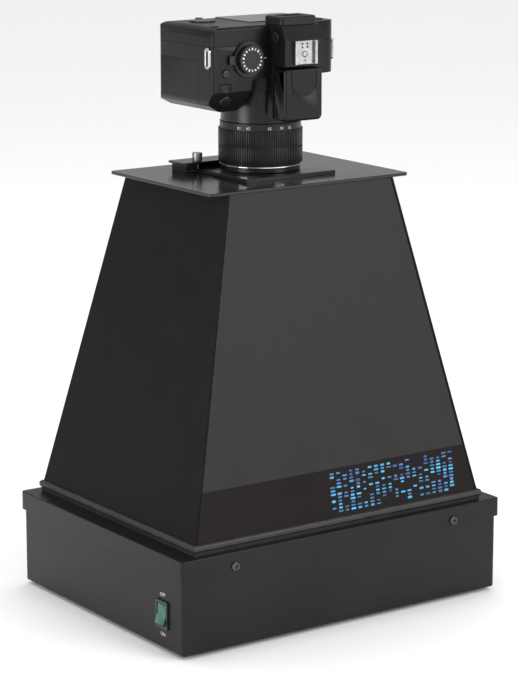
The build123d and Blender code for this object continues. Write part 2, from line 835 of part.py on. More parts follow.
# Clamp strip across the block, tapped for the two thumbscrews
clamp_z = adapter_top + block_height
with BuildPart() as clamp_strip:
    with BuildSketch(Plane.XY.offset(clamp_z)):
        with Locations((0, clamp_back_y - clamp_depth / 2)):
            RectangleRounded(clamp_width, clamp_depth, 0.8)
        with Locations((0, axis_y)):
            Circle(rib_crest_radius + clamp_gap, mode=Mode.SUBTRACT)
        with Locations((0, thumb_y)):
            with GridLocations(thumb_spacing, 1, 2, 1):
                Circle(thumb_shank_radius + running_fit, mode=Mode.SUBTRACT)
    extrude(amount=clamp_thickness)

# Knurled thumbscrews whose tips press on the camera plate's tail
thumb_base = clamp_z + clamp_thickness + thumb_neck


def thumbscrew(x):
    """One thumbscrew standing in the clamp strip at x."""
    with BuildPart() as screw:
        with BuildSketch(Plane.XY.offset(thumb_base)):
            with Locations((x, thumb_y)):
                Circle(thumb_radius)
                with PolarLocations(thumb_radius, knurl_count):
                    Rectangle(2 * knurl_depth, 0.5, mode=Mode.SUBTRACT)
        extrude(amount=thumb_height)
        with BuildSketch(Plane.XY.offset(holder_top + thumb_tip_gap)):
            with Locations((x, thumb_y)):
                Circle(thumb_shank_radius)
        extrude(amount=thumb_base - holder_top - thumb_tip_gap)
    return screw


thumbscrew_left = thumbscrew(-thumb_spacing / 2)
thumbscrew_right = thumbscrew(thumb_spacing / 2)

# Camera plate: carries the lens on a low collar, and a threaded spigot below
with BuildPart() as camera_plate:
    with BuildSketch(Plane.XY.offset(adapter_top)):
        with Locations((0, adapter_front_y)):
            Rectangle(
                adapter_width,
                pocket_back_y - block_gap - adapter_front_y,
                align=(Align.CENTER, Align.MIN),
            )
    extrude(amount=adapter_sheet)
    with BuildSketch(Plane.XY.offset(adapter_top)):
        with Locations((0, axis_y)):
            Circle(spigot_radius)
    extrude(amount=-spigot_drop)
    with BuildSketch(Plane.XY.offset(holder_top)):
        with Locations((0, axis_y)):
            Circle(collar_radius)
    extrude(amount=collar_height)
    with BuildSketch(Plane.XY.offset(adapter_top - spigot_drop)):
        with Locations((0, axis_y)):
            Circle(spigot_bore)
    extrude(amount=spigot_drop + adapter_sheet + collar_height, mode=Mode.SUBTRACT)

# Filter ring screwed over the spigot, and the amber filter it holds against the spigot's end
spigot_end = adapter_top - spigot_drop
ring_bottom = spigot_end - amber_thickness - filter_ring_lip
with BuildPart() as filter_ring:
    with BuildSketch(Plane.XZ):
        Polygon(
            (filter_ring_bore, ring_bottom),
            (filter_ring_radius, ring_bottom),
            (filter_ring_radius, ring_bottom + filter_ring_height),
            (spigot_radius + thread_gap, ring_bottom + filter_ring_height),
            (spigot_radius + thread_gap, ring_bottom + filter_ring_lip),
            (filter_ring_bore, ring_bottom + filter_ring_lip),
            align=None,
        )
    revolve(axis=Axis.Z)
filter_ring.part = filter_ring.part.moved(Location((0, axis_y, 0)))

with BuildPart() as amber_filter:
    with BuildSketch(Plane.XY.offset(ring_bottom + filter_ring_lip)):
        with Locations((0, axis_y)):
            Circle(spigot_radius - thread_gap)
    extrude(amount=amber_thickness)


def turned(profile):
    """A ring or tube of revolution about the optical axis, from points of radius and height."""
    with BuildPart(Plane((0, axis_y, 0))) as ring:
        with BuildSketch(Plane((0, axis_y, 0), x_dir=(1, 0, 0), z_dir=(0, -1, 0))):
            Polygon(*profile, align=None)
        revolve(axis=Axis((0, axis_y, 0), (0, 0, 1)))
    return ring


# Lens barrel: the core tube that the rings turn on, and the wider fixed barrel at the camera
focus_low = holder_top + ring_gap
trim_low = focus_low + focus_ring_height + ring_gap
zoom_low = trim_low + trim_ring_height + ring_gap
rear_low = zoom_low + zoom_ring_height + ring_gap
lens_barrel = turned(
    [
        (core_bore, holder_top),
        (core_radius, holder_top),
        (core_radius, rear_low),
        (rear_barrel_front_radius, rear_low),
        (rear_barrel_radius, flange_z),
        (core_bore, flange_z),
    ]
)

# Focus ring, and the bright trim ring that keeps it apart from the zoom ring
focus_ring = turned(
    [
        (core_radius + running_fit, focus_low),
        (focus_ring_radius, focus_low),
        (focus_ring_radius, focus_low + focus_ring_height),
        (core_radius + running_fit, focus_low + focus_ring_height),
    ]
)
trim_ring = turned(
    [
        (core_radius, trim_low),
        (trim_ring_radius, trim_low),
        (trim_ring_radius, trim_low + trim_ring_height),
        (core_radius, trim_low + trim_ring_height),
    ]
)

# Zoom ring: a smooth scale band and a grip of fine ribs, parted by one groove
rib_low = zoom_low + rib_margin
rib_high = zoom_low + zoom_ring_height - zoom_band_height
with BuildPart() as zoom_ring:
    with BuildSketch(Plane.XY.offset(zoom_low)):
        with Locations((0, axis_y)):
            Circle(rib_root_radius)
    extrude(amount=rib_high - zoom_low)
    with BuildSketch(Plane.XY.offset(rib_low)):
        with Locations((0, axis_y)):
            with PolarLocations((rib_root_radius + rib_crest_radius) / 2, rib_count):
                Rectangle(rib_crest_radius - rib_root_radius + 0.4, rib_width)
    extrude(amount=rib_high - rib_low)
    with BuildSketch(Plane.XY.offset(rib_high)):
        with Locations((0, axis_y)):
            Circle(zoom_band_radius)
    extrude(amount=zoom_band_height)
    groove_z = rib_low + rib_groove_share * (rib_high - rib_low)
    with BuildSketch(Plane.XY.offset(groove_z)):
        with Locations((0, axis_y)):
            Circle(rib_crest_radius + 1)
            Circle(rib_root_radius, mode=Mode.SUBTRACT)
    extrude(amount=rib_groove_height, mode=Mode.SUBTRACT)
    with BuildSketch(Plane.XY.offset(zoom_low)):
        with Locations((0, axis_y)):
            Circle(core_radius + running_fit)
    extrude(amount=zoom_ring_height, mode=Mode.SUBTRACT)

# Zoom group: the tube that slides inside the barrel, and its two lenses
group_low = holder_top + group_lift
group_high = group_low + group_length
zoom_group = turned(
    [
        (core_bore - group_wall, group_low),
        (core_bore - running_fit, group_low),
        (core_bore - running_fit, group_high),
        (core_bore - group_wall, group_high),
    ]
)
glass_radius = core_bore - group_wall - lens_edge_gap
with BuildPart() as lens_elements:
    front_rim = group_low + lens_sag
    rear_rim = group_high - lens_sag
    for rim, sag in ((front_rim, -lens_sag), (rear_rim, lens_sag)):
        flat = rim - math.copysign(lens_thickness - lens_sag, sag)
        with BuildSketch(Plane((0, axis_y, 0), x_dir=(1, 0, 0), z_dir=(0, -1, 0))):
            with BuildLine():
                Polyline((0, rim + sag), (0, flat), (glass_radius, flat), (glass_radius, rim))
                TangentArc((0, rim + sag), (glass_radius, rim), tangent=(1, 0))
            make_face()
        revolve(axis=Axis((0, axis_y, 0), (0, 0, 1)))

# Bayonet ring on the camera's front
lens_mount = turned(
    [
        (mount_bore, flange_z),
        (mount_radius, flange_z),
        (mount_radius, flange_z + mount_height),
        (mount_bore, flange_z + mount_height),
    ]
)

# Camera form: its outlines seen from the deck, from the front and from the grip end, intersected
grip_front_z = body_front - 2 * grip_front
with BuildPart() as camera_form:
    with BuildSketch(Plane.XZ):
        with BuildLine():
            FilletPolyline(
                (-grip_reach, grip_front_z + grip_front_outer),
                (-grip_reach, body_back),
                (left_reach, body_back),
                (left_reach, body_front),
                (grip_inner_x + 4, body_front),
                (grip_inner_x, grip_front_z),
                (-grip_reach + 2 * grip_front_outer, grip_front_z),
                radius=[6, corner_round, corner_round, 6, 3, 7, 7],
                close=True,
            )
        make_face()
    extrude(amount=grip_reach, both=True)
    with BuildSketch(Plane.XY.offset(grip_front_z - 1)):
        with BuildLine():
            FilletPolyline(
                (-grip_reach, bottom_y),
                (left_reach, bottom_y),
                (left_reach, deck_y + 19),
                (left_reach - 11, deck_y + 5),
                (left_reach - 32, deck_y),
                (-grip_reach, deck_y),
                radius=[corner_round, corner_round, 7, 9, 12, deck_round],
                close=True,
            )
        make_face()
    extrude(amount=body_back - grip_front_z + 2, mode=Mode.INTERSECT)
    # Rounded long edges of the underside
    with BuildSketch(Plane.YZ.offset(-grip_reach - 1)):
        with Locations((axis_y, body_back)):
            Rectangle(4 * camera_drop, 4 * camera_depth)
        with BuildLine():
            FilletPolyline(
                (bottom_y, grip_front_z),
                (bottom_y, body_back),
                (deck_y, body_back),
                (deck_y, grip_front_z),
                radius=[corner_round, camera_edge_round, deck_round, deck_round],
                close=True,
            )
        make_face(mode=Mode.SUBTRACT)
    extrude(amount=grip_reach + left_reach + 2, mode=Mode.SUBTRACT)
    # Slope at the front of the grip's deck, where the shutter button sits
    with BuildSketch(Plane.YZ.offset(-grip_reach)):
        Polygon(
            (deck_y - 1, grip_front_z - 1),
            (deck_y - 1, grip_front_z + grip_slope_drop),
            (deck_y, grip_front_z + grip_slope_drop),
            (deck_y + grip_slope_run, grip_front_z),
            (deck_y + grip_slope_run, grip_front_z - 1),
            align=None,
        )
    extrude(amount=grip_reach, mode=Mode.SUBTRACT)

# Splits between the four body mouldings
split_y = deck_y + deck_split
split_z = body_back - rear_split
grip_outline = [
    (-grip_reach - 1, grip_front_z - 1),
    (grip_inner_x + 5, grip_front_z - 1),
    (grip_inner_x + 5, body_front),
    (-grip_reach + grip_skin, body_front),
    (-grip_reach + grip_skin, body_front + grip_skin_height),
    (-grip_reach - 1, body_front + grip_skin_height),
]

# Rear cover with the screen recess and the button wells
rear_wells = ((menu_x, menu_y), (play_x, play_y), (lock_x, lock_y))
with BuildPart() as rear_cover:
    add(camera_form.part)
    with BuildSketch(Plane.XY.offset(split_z)):
        Rectangle(3 * grip_reach, 3 * grip_reach)
    extrude(amount=-camera_depth * 2, mode=Mode.SUBTRACT)
    with BuildSketch(Plane.XY.offset(body_back)):
        with Locations((screen_x, screen_y)):
            RectangleRounded(screen_width + 2 * seam, screen_height + 2 * seam, screen_corner)
    extrude(amount=-screen_thickness + screen_proud, mode=Mode.SUBTRACT)
    with BuildSketch(Plane.XY.offset(body_back)):
        with Locations((keys_x, keys_y)):
            Circle(keys_radius + button_gap)
        with Locations(*rear_wells):
            Circle(small_button_radius + button_gap)
    extrude(amount=-button_length - button_travel, mode=Mode.SUBTRACT)

# Top cover: the deck, the hump's fixed part and the wells of the deck's controls
hump_top_z = body_back
flash_back_z = grip_front_z - 8.5 + flash_length
hump_front_z = grip_front_z - 8.5
flash_floor_y = hump_y + flash_height
shoulder_cut = 11.0
slope_angle = math.degrees(math.atan2(grip_slope_drop, grip_slope_run))
shutter_y = deck_y + grip_slope_run * shutter_slope_share
shutter_z = grip_front_z + grip_slope_drop * (1 - shutter_slope_share)
shutter_plane = Plane(
    (shutter_x, shutter_y, shutter_z), x_dir=(1, 0, 0), z_dir=(0, -grip_slope_drop, -grip_slope_run)
)
dial_z = body_back - dial_depth_z
iso_z = body_back - iso_depth_z
wheel_z = body_back - wheel_depth_z
wheel_y = deck_y + wheel_radius - wheel_rise
with BuildPart() as top_cover:
    add(camera_form.part)
    with BuildSketch(Plane.XZ.offset(-split_y)):
        Rectangle(4 * grip_reach, 4 * body_back)
    extrude(amount=-4 * camera_drop, mode=Mode.SUBTRACT)
    with BuildSketch(Plane.XY.offset(split_z - seam)):
        Rectangle(3 * grip_reach, 3 * grip_reach)
    extrude(amount=camera_depth, mode=Mode.SUBTRACT)
    with BuildSketch(Plane.YZ):
        with BuildLine():
            Polyline(
                (deck_y + 1.5, hump_front_z + 4),
                (flash_floor_y + flash_gap, hump_front_z + 1.5),
                (flash_floor_y + flash_gap, flash_back_z + flash_rear_gap),
                (hump_y, flash_back_z + flash_rear_gap),
                (hump_y, hump_top_z - shoulder_cut),
                (hump_y + 5.5, hump_top_z),
                (deck_y - seam, hump_top_z),
                (deck_y - seam, split_z - 2),
                (deck_y + 1.5, split_z - 2),
                close=True,
            )
        make_face()
    extrude(amount=hump_half_width, both=True)
    # Dial boss and its bore
    with BuildSketch(Plane.XZ.offset(-deck_y)):
        with Locations((dial_x, dial_z)):
            Circle(dial_boss_radius)
    extrude(amount=dial_boss_height)
    with BuildSketch(Plane.XZ.offset(-deck_y + dial_boss_height)):
        with Locations((dial_x, dial_z)):
            Circle(dial_pin_radius + running_fit)
    extrude(amount=-dial_boss_height - 4, mode=Mode.SUBTRACT)
    # Wells of the two buttons
    with BuildSketch(Plane.XZ.offset(-deck_y)):
        with Locations((iso_x, iso_z)):
            Circle(iso_radius + button_gap)
    extrude(amount=-button_length - button_travel, mode=Mode.SUBTRACT)
    with BuildSketch(shutter_plane):
        Circle(shutter_radius + button_gap)
    extrude(amount=-button_length - button_travel, mode=Mode.SUBTRACT)
    # Slot and axle holes of the control wheel
    with BuildSketch(Plane.XY.offset(wheel_z)):
        with Locations((wheel_x, wheel_y)):
            Circle(wheel_radius + button_gap)
    extrude(amount=wheel_width / 2 + button_gap, both=True, mode=Mode.SUBTRACT)
    with BuildSketch(Plane.XY.offset(wheel_z)):
        with Locations((wheel_x, wheel_y)):
            Circle(wheel_axle_radius + running_fit)
    extrude(amount=wheel_width / 2 + button_gap + wheel_axle_length, both=True, mode=Mode.SUBTRACT)
    # Bore of the dioptre wheel in the hump's side
    with BuildSketch(Plane.YZ.offset(-hump_half_width)):
        with Locations((axis_y - diopter_rise, body_back - diopter_depth_z)):
            Circle(diopter_pin_radius + running_fit)
    extrude(amount=4, mode=Mode.SUBTRACT)

# Front body with the bulge round the mount, the release well, and the wells of the two covers
door_x = battery_door_x
door_z = body_back - battery_door_z_drop
port_z = body_back - port_cover_z_drop
with BuildPart() as camera_body:
    add(camera_form.part)
    with BuildSketch(Plane.XZ.offset(-split_y - seam)):
        Rectangle(4 * grip_reach, 4 * body_back)
    extrude(amount=4 * camera_drop, mode=Mode.SUBTRACT)
    with BuildSketch(Plane.XY.offset(split_z - seam)):
        Rectangle(3 * grip_reach, 3 * grip_reach)
    extrude(amount=camera_depth, mode=Mode.SUBTRACT)
    with BuildSketch(Plane.XZ):
        Polygon(*grip_outline, align=None)
    extrude(amount=2 * grip_reach, both=True, mode=Mode.SUBTRACT)
    with BuildSketch(Plane.XY.offset(flange_z + mount_height)):
        with Locations((0, axis_y)):
            Circle(bulge_radius)
    extrude(amount=bulge_height)
    with BuildSketch(Plane.XY.offset(flange_z + mount_height)):
        with Locations((0, axis_y)):
            Circle(mount_bore)
    extrude(amount=bulge_height, mode=Mode.SUBTRACT)
    with BuildSketch(Plane.XY.offset(body_front)):
        with Locations((release_x, release_y)):
            Circle(release_radius + button_gap)
    extrude(amount=button_length + release_travel, mode=Mode.SUBTRACT)
    with BuildSketch(Plane.XZ.offset(-bottom_y)):
        with Locations((door_x, door_z)):
            RectangleRounded(battery_door_width + 2 * door_gap, battery_door_height + 2 * door_gap, 1.5)
    extrude(amount=door_thickness + door_gap, mode=Mode.SUBTRACT)
    with BuildSketch(Plane.YZ.offset(left_reach)):
        with Locations((port_cover_y, port_z)):
            RectangleRounded(port_cover_length + 2 * door_gap, port_cover_height + 2 * door_gap, 1.5)
    extrude(amount=-port_cover_thickness - door_gap, mode=Mode.SUBTRACT)
    with BuildSketch(Plane.XZ.offset(-bottom_y)):
        with Locations((0, body_back - camera_depth / 2 - 4)):
            Circle(tripod_hole_radius)
    extrude(amount=tripod_hole_depth, mode=Mode.SUBTRACT)

# Rubber-skinned grip
with BuildPart() as hand_grip:
    add(camera_form.part)
    with BuildSketch(Plane.XZ):
        offset_outline = Polygon(*grip_outline, align=None)
        offset(offset_outline, -seam, mode=Mode.REPLACE)
    extrude(amount=2 * grip_reach, both=True, mode=Mode.INTERSECT)
    with BuildSketch(Plane.XY.offset(flange_z - seam)):
        with Locations((0, axis_y)):
            Circle(bulge_radius + seam)
    extrude(amount=mount_height + bulge_height + 2 * seam, mode=Mode.SUBTRACT)
    with BuildSketch(Plane.XZ.offset(-split_y - seam)):
        Rectangle(4 * grip_reach, 4 * body_back)
    extrude(amount=4 * camera_drop, mode=Mode.SUBTRACT)

# Pop-up flash: the front of the hump, hinged at its upper rear edge
with BuildPart() as pop_up_flash:
    with BuildSketch(Plane.YZ):
        with BuildLine():
            FilletPolyline(
                (flash_floor_y, hump_front_z + 2),
                (hump_y, hump_front_z),
                (hump_y, flash_back_z),
                (flash_floor_y, flash_back_z),
                radius=[2, 5, flash_round, 0],
                close=True,
            )
        make_face()
    extrude(amount=hump_half_width, both=True)
    fillet(pop_up_flash.edges().filter_by(Axis.Y).group_by(Axis.Z)[0], 2.5)
    with BuildSketch(Plane.XZ.offset(-hump_y)):
        with Locations((0, flash_back_z)):
            SlotCenterToCenter(2 * flash_groove_length, 2 * flash_groove_half_width, rotation=90)
            SlotCenterToCenter(
                2 * flash_groove_length,
                2 * (flash_groove_half_width - flash_groove_width),
                rotation=90,
                mode=Mode.SUBTRACT,
            )
    extrude(amount=-flash_groove_depth, mode=Mode.SUBTRACT)

# Accessory shoe: a folded metal channel with inward lips
shoe_z = flash_back_z + flash_rear_gap + shoe_end_gap / 3 + shoe_length / 2
with BuildPart() as hot_shoe:
    shoe_height = shoe_base + shoe_slot + shoe_lip_thickness
    with BuildSketch(Plane.XY.offset(shoe_z - shoe_length / 2)):
        with Locations((0, hump_y)):
            Rectangle(shoe_width, shoe_height, align=(Align.CENTER, Align.MAX))
        with Locations((0, hump_y - shoe_base)):
            Rectangle(
                shoe_width - 2 * shoe_lip_thickness, shoe_slot, align=(Align.CENTER, Align.MAX), mode=Mode.SUBTRACT
            )
            Rectangle(
                shoe_width - 2 * shoe_lip_thickness - 2 * shoe_lip,
                shoe_height,
                align=(Align.CENTER, Align.MAX),
                mode=Mode.SUBTRACT,
            )
    extrude(amount=shoe_length)

# Eyecup: a soft frame round the viewfinder
with BuildPart() as eyecup:
    with BuildSketch(Plane.XY.offset(body_back)):
        with Locations((0, axis_y - eyecup_rise + eyecup_height / 2)):
            RectangleRounded(eyecup_width, eyecup_height, eyecup_corner)
            RectangleRounded(eyecup_window_width, eyecup_window_height, 2, mode=Mode.SUBTRACT)
    extrude(amount=eyecup_depth)
    chamfer(eyecup.faces().sort_by(Axis.Z)[-1].edges(), 1)

# Mode dial, with its milled edge and pin
with BuildPart() as mode_dial:
    dial_low = -deck_y + dial_boss_height + control_gap
    with BuildSketch(Plane.XZ.offset(dial_low)):
        with Locations((dial_x, dial_z)):
            Circle(dial_radius)
            with PolarLocations(dial_radius, 36):
                Circle(0.4, mode=Mode.SUBTRACT)
    extrude(amount=dial_height)
    with BuildSketch(Plane.XZ.offset(dial_low)):
        with Locations((dial_x, dial_z)):
            Circle(dial_pin_radius)
    extrude(amount=-dial_boss_height - 3)

# Power lever: a ring on the dial's boss with one tab
with BuildPart() as power_lever:
    with BuildSketch(Plane.XZ.offset(-deck_y + control_gap)):
        with Locations((dial_x, dial_z)):
            Circle(lever_radius)
            Rectangle(lever_tab_reach, lever_tab_width, align=(Align.MAX, Align.CENTER))
            Circle(dial_boss_radius + running_fit, mode=Mode.SUBTRACT)
    extrude(amount=lever_height)

# Push buttons, each a short round plunger in its well
with BuildPart() as iso_button:
    with BuildSketch(Plane.XZ.offset(-deck_y + button_rise)):
        with Locations((iso_x, iso_z)):
            Circle(iso_radius)
    extrude(amount=-button_length)
    chamfer(iso_button.faces().sort_by(Axis.Y)[0].edges(), 0.4)

with BuildPart() as shutter_button:
    with BuildSketch(shutter_plane.offset(button_rise)):
        Circle(shutter_radius)
    extrude(amount=-button_length)
    chamfer(shutter_button.faces().sort_by(Axis.Y)[0].edges(), 0.6)

with BuildPart() as control_wheel:
    with BuildSketch(Plane.XY.offset(wheel_z)):
        with Locations((wheel_x, wheel_y)):
            Circle(wheel_radius)
            with PolarLocations(wheel_radius, wheel_teeth):
                Rectangle(2 * wheel_tooth_depth, 0.9, mode=Mode.SUBTRACT)
    extrude(amount=wheel_width / 2, both=True)
    with BuildSketch(Plane.XY.offset(wheel_z)):
        with Locations((wheel_x, wheel_y)):
            Circle(wheel_axle_radius)
    extrude(amount=wheel_width / 2 + wheel_axle_length, both=True)

with BuildPart() as diopter_dial:
    with BuildSketch(Plane.YZ.offset(-hump_half_width - button_gap)):
        with Locations((axis_y - diopter_rise, body_back - diopter_depth_z)):
            Circle(diopter_radius)
            with PolarLocations(diopter_radius, 18):
                Rectangle(0.7, 0.7, mode=Mode.SUBTRACT)
    extrude(amount=-diopter_thickness)
    with BuildSketch(Plane.YZ.offset(-hump_half_width - button_gap)):
        with Locations((axis_y - diopter_rise, body_back - diopter_depth_z)):
            Circle(diopter_pin_radius)
    extrude(amount=3)


def rear_button(x, y, radius, rise):
    """One round plunger standing in a well of the rear cover."""
    with BuildPart() as button:
        with BuildSketch(Plane.XY.offset(body_back + rise)):
            with Locations((x, y)):
                Circle(radius)
        extrude(amount=-button_length)
        chamfer(button.faces().sort_by(Axis.Z)[-1].edges(), 0.4)
    return button


cross_keys = rear_button(keys_x, keys_y, keys_radius, keys_rise)
menu_button = rear_button(menu_x, menu_y, small_button_radius, button_rise)
play_button = rear_button(play_x, play_y, small_button_radius, button_rise)
lock_button = rear_button(lock_x, lock_y, small_button_radius, button_rise)

# Screen window, a little proud of the rear cover
with BuildPart() as screen_window:
    with BuildSketch(Plane.XY.offset(body_back - screen_thickness + screen_proud)):
        with Locations((screen_x, screen_y)):
            RectangleRounded(screen_width, screen_height, screen_corner)
    extrude(amount=screen_thickness)

# Lens release button beside the mount
with BuildPart() as release_button:
    with BuildSketch(Plane.XY.offset(body_front - 2 * button_rise)):
        with Locations((release_x, release_y)):
            Circle(release_radius)
    extrude(amount=button_length + button_rise)
    chamfer(release_button.faces().sort_by(Axis.Z)[0].edges(), 0.5)

# Battery and card door in the camera's underside
with BuildPart() as battery_door:
    with BuildSketch(Plane.XZ.offset(-bottom_y)):
        with Locations((door_x, door_z)):
            RectangleRounded(battery_door_width, battery_door_height, 1.2)
    extrude(amount=door_thickness)

# Cover of the sockets in the camera's left end
with BuildPart() as port_cover:
    with BuildSketch(Plane.YZ.offset(left_reach)):
        with Locations((port_cover_y, port_z)):
            RectangleRounded(port_cover_length, port_cover_height, 1.2)
    extrude(amount=-port_cover_thickness)

# Strap lugs: flat slotted rings, one on the grip end and one on the left shoulder
lug_z = body_back - lug_z_drop
left_lug_plane = Plane((-grip_reach, axis_y - lug_rise, lug_z), x_dir=(0, 0, 1), z_dir=(-1, 0, 0))
shoulder_x = left_reach - 11 / 2
shoulder_y = deck_y + 12
right_lug_plane = Plane((shoulder_x, shoulder_y, lug_z), x_dir=(0, 0, 1), z_dir=(14, -11, 0))
with BuildPart() as strap_lugs:
    for lug_plane in (left_lug_plane, right_lug_plane):
        with BuildSketch(lug_plane):
            SlotOverall(lug_length, lug_width)
            SlotOverall(lug_slot_length, lug_slot_width, mode=Mode.SUBTRACT)
        extrude(amount=lug_thickness)

pieces = {
    "base_tray": base_tray,
    "base_cover": base_cover,
    "cover_screws": cover_screws,
    "rubber_feet": rubber_feet,
    "filter_glass": filter_glass,
    "filter_frame": filter_frame,
    "lamp_reflector": lamp_reflector,
    "uv_tubes": uv_tubes,
    "lamp_holders": lamp_holders,
    "ballasts": ballasts,
    "cooling_fan": cooling_fan,
    "fan_rotor": fan_rotor,
    "power_inlet": power_inlet,
    "fuse_drawer": fuse_drawer,
    "switch_housing": switch_housing,
    "switch_rocker": switch_rocker,
    "hood_front_panel": hood_front_panel,
    "hood_rear_panel": hood_rear_panel,
    "hood_left_panel": hood_left_panel,
    "hood_right_panel": hood_right_panel,
    "hood_corner_angles": hood_corner_angles,
    "hood_edge_seal": hood_edge_seal,
    "top_plate": top_plate,
    "adapter_plate": adapter_plate,
    "clamp_block": clamp_block,
    "clamp_strip": clamp_strip,
    "thumbscrew_left": thumbscrew_left,
    "thumbscrew_right": thumbscrew_right,
    "camera_plate": camera_plate,
    "filter_ring": filter_ring,
    "amber_filter": amber_filter,
    "lens_barrel": lens_barrel,
    "focus_ring": focus_ring,
    "trim_ring": trim_ring,
    "zoom_ring": zoom_ring,
    "zoom_group": zoom_group,
    "lens_elements": lens_elements,
    "lens_mount": lens_mount,
    "camera_body": camera_body,
    "top_cover": top_cover,
    "rear_cover": rear_cover,
    "hand_grip": hand_grip,
    "pop_up_flash": pop_up_flash,
    "hot_shoe": hot_shoe,
    "eyecup": eyecup,
    "mode_dial": mode_dial,
    "power_lever": power_lever,
    "iso_button": iso_button,
    "shutter_button": shutter_button,
    "control_wheel": control_wheel,
    "diopter_dial": diopter_dial,
    "cross_keys": cross_keys,
    "menu_button": menu_button,
    "play_button": play_button,
    "lock_button": lock_button,
    "screen_window": screen_window,
    "release_button": release_button,
    "battery_door": battery_door,
    "port_cover": port_cover,
    "strap_lugs": strap_lugs,
}
for name, piece in pieces.items():
    piece.part.label = name
    export_step(piece.part, f"parts/{name}.step")
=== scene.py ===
"""Gel documentation system: light box, dark hood and camera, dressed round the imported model."""

import json
import math

import bmesh
import bpy
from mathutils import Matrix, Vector

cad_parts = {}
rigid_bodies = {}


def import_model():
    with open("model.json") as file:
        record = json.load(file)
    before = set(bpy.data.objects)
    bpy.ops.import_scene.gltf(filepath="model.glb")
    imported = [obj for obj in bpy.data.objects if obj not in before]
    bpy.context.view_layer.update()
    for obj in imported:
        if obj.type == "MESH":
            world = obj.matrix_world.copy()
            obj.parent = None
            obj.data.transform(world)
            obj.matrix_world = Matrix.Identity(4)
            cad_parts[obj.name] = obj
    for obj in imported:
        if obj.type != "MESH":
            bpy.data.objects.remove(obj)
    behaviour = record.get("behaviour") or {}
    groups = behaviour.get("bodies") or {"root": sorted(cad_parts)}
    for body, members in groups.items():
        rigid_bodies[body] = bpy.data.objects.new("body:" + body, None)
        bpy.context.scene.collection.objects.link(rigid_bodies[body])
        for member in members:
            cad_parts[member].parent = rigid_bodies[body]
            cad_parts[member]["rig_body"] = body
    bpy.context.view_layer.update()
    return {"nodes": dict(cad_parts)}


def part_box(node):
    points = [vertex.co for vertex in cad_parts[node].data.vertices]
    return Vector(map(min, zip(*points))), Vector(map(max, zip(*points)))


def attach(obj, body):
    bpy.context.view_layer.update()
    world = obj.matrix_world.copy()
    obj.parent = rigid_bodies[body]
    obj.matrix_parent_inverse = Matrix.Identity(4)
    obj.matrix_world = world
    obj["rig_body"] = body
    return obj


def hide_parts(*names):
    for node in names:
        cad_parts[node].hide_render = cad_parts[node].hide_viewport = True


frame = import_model()

# Studio
# A pale floor, an even white surround, and soft boxes at the front right, the left and overhead.
# The camera stands at the photograph's angle: a long lens, a little above the hood's middle.
view_azimuth = math.radians(-35.0)
view_elevation = math.radians(12.52)
view_distance = 2.12
view_target = Vector((0.0, 0.0, 0.2137))
away = Vector(
    (
        math.sin(view_azimuth) * math.cos(view_elevation),
        -math.cos(view_azimuth) * math.cos(view_elevation),
        math.sin(view_elevation),
    )
)
lens_data = bpy.data.cameras.new("studio_camera")
lens_data.lens = 135.1
lens_data.sensor_width = 36.0
lens_data.clip_end = 50.0
studio_camera = bpy.data.objects.new("studio_camera", lens_data)
bpy.context.scene.collection.objects.link(studio_camera)
studio_camera.location = view_target + away * view_distance
studio_camera.rotation_mode = "QUATERNION"
studio_camera.rotation_quaternion = (-away).to_track_quat("-Z", "Y")
bpy.context.scene.camera = studio_camera

world = bpy.data.worlds.new("pale_surround")
world.use_nodes = True
surround = world.node_tree.nodes["Background"]
surround.inputs["Color"].default_value = (1.0, 1.0, 1.0, 1.0)
# Mirrored rays meet half the brightness, so black surfaces stay dark
ray_kind = world.node_tree.nodes.new("ShaderNodeLightPath")
reflected = world.node_tree.nodes.new("ShaderNodeMapRange")
reflected.inputs["To Min"].default_value = 1.0
reflected.inputs["To Max"].default_value = 0.5
world.node_tree.links.new(ray_kind.outputs["Is Glossy Ray"], reflected.inputs["Value"])
world.node_tree.links.new(reflected.outputs["Result"], surround.inputs["Strength"])
bpy.context.scene.world = world
bpy.context.scene.view_settings.view_transform = "Standard"


def soft_box(name, place, aim, size, power):
    """One square area light at place, turned to aim."""
    light = bpy.data.lights.new(name, "AREA")
    light.shape = "RECTANGLE"
    light.size, light.size_y = size
    light.energy = power
    lamp = bpy.data.objects.new(name, light)
    bpy.context.scene.collection.objects.link(lamp)
    lamp.location = place
    lamp.rotation_mode = "QUATERNION"
    lamp.rotation_quaternion = (Vector(aim) - Vector(place)).to_track_quat("-Z", "Y")


soft_box("front_right_box", (0.9, -2.2, 1.1), (0.0, 0.0, 0.2), (1.2, 1.2), 26.0)
soft_box("left_box", (-2.3, -0.2, 0.5), (0.0, 0.0, 0.15), (1.0, 1.0), 16.0)
soft_box("overhead_box", (0.1, 0.5, 2.3), (0.0, 0.0, 0.3), (1.4, 1.4), 14.0)

floor_reach = 6
floor_corners = [(x * floor_reach, y * floor_reach, 0) for x, y in ((-1, -1), (1, -1), (1, 1), (-1, 1))]
floor_mesh = bpy.data.meshes.new("floor")
floor_mesh.from_pydata(floor_corners, [], [(0, 1, 2, 3)])
floor = bpy.data.objects.new("floor", floor_mesh)
bpy.context.scene.collection.objects.link(floor)
floor_paint = bpy.data.materials.new("floor_paint")
floor_paint.use_nodes = True
floor_nodes, floor_links = floor_paint.node_tree.nodes, floor_paint.node_tree.links
floor_shader = floor_nodes["Principled BSDF"]
floor_shader.inputs["Base Color"].default_value = (0.9, 0.9, 0.9, 1.0)
floor_place = floor_nodes.new("ShaderNodeTexCoord")
floor_grain = floor_nodes.new("ShaderNodeTexNoise")
floor_grain.inputs["Scale"].default_value = 40.0
floor_sheen = floor_nodes.new("ShaderNodeMapRange")
floor_sheen.inputs["To Min"].default_value = 0.85
floor_sheen.inputs["To Max"].default_value = 0.95
floor_links.new(floor_place.outputs["Object"], floor_grain.inputs["Vector"])
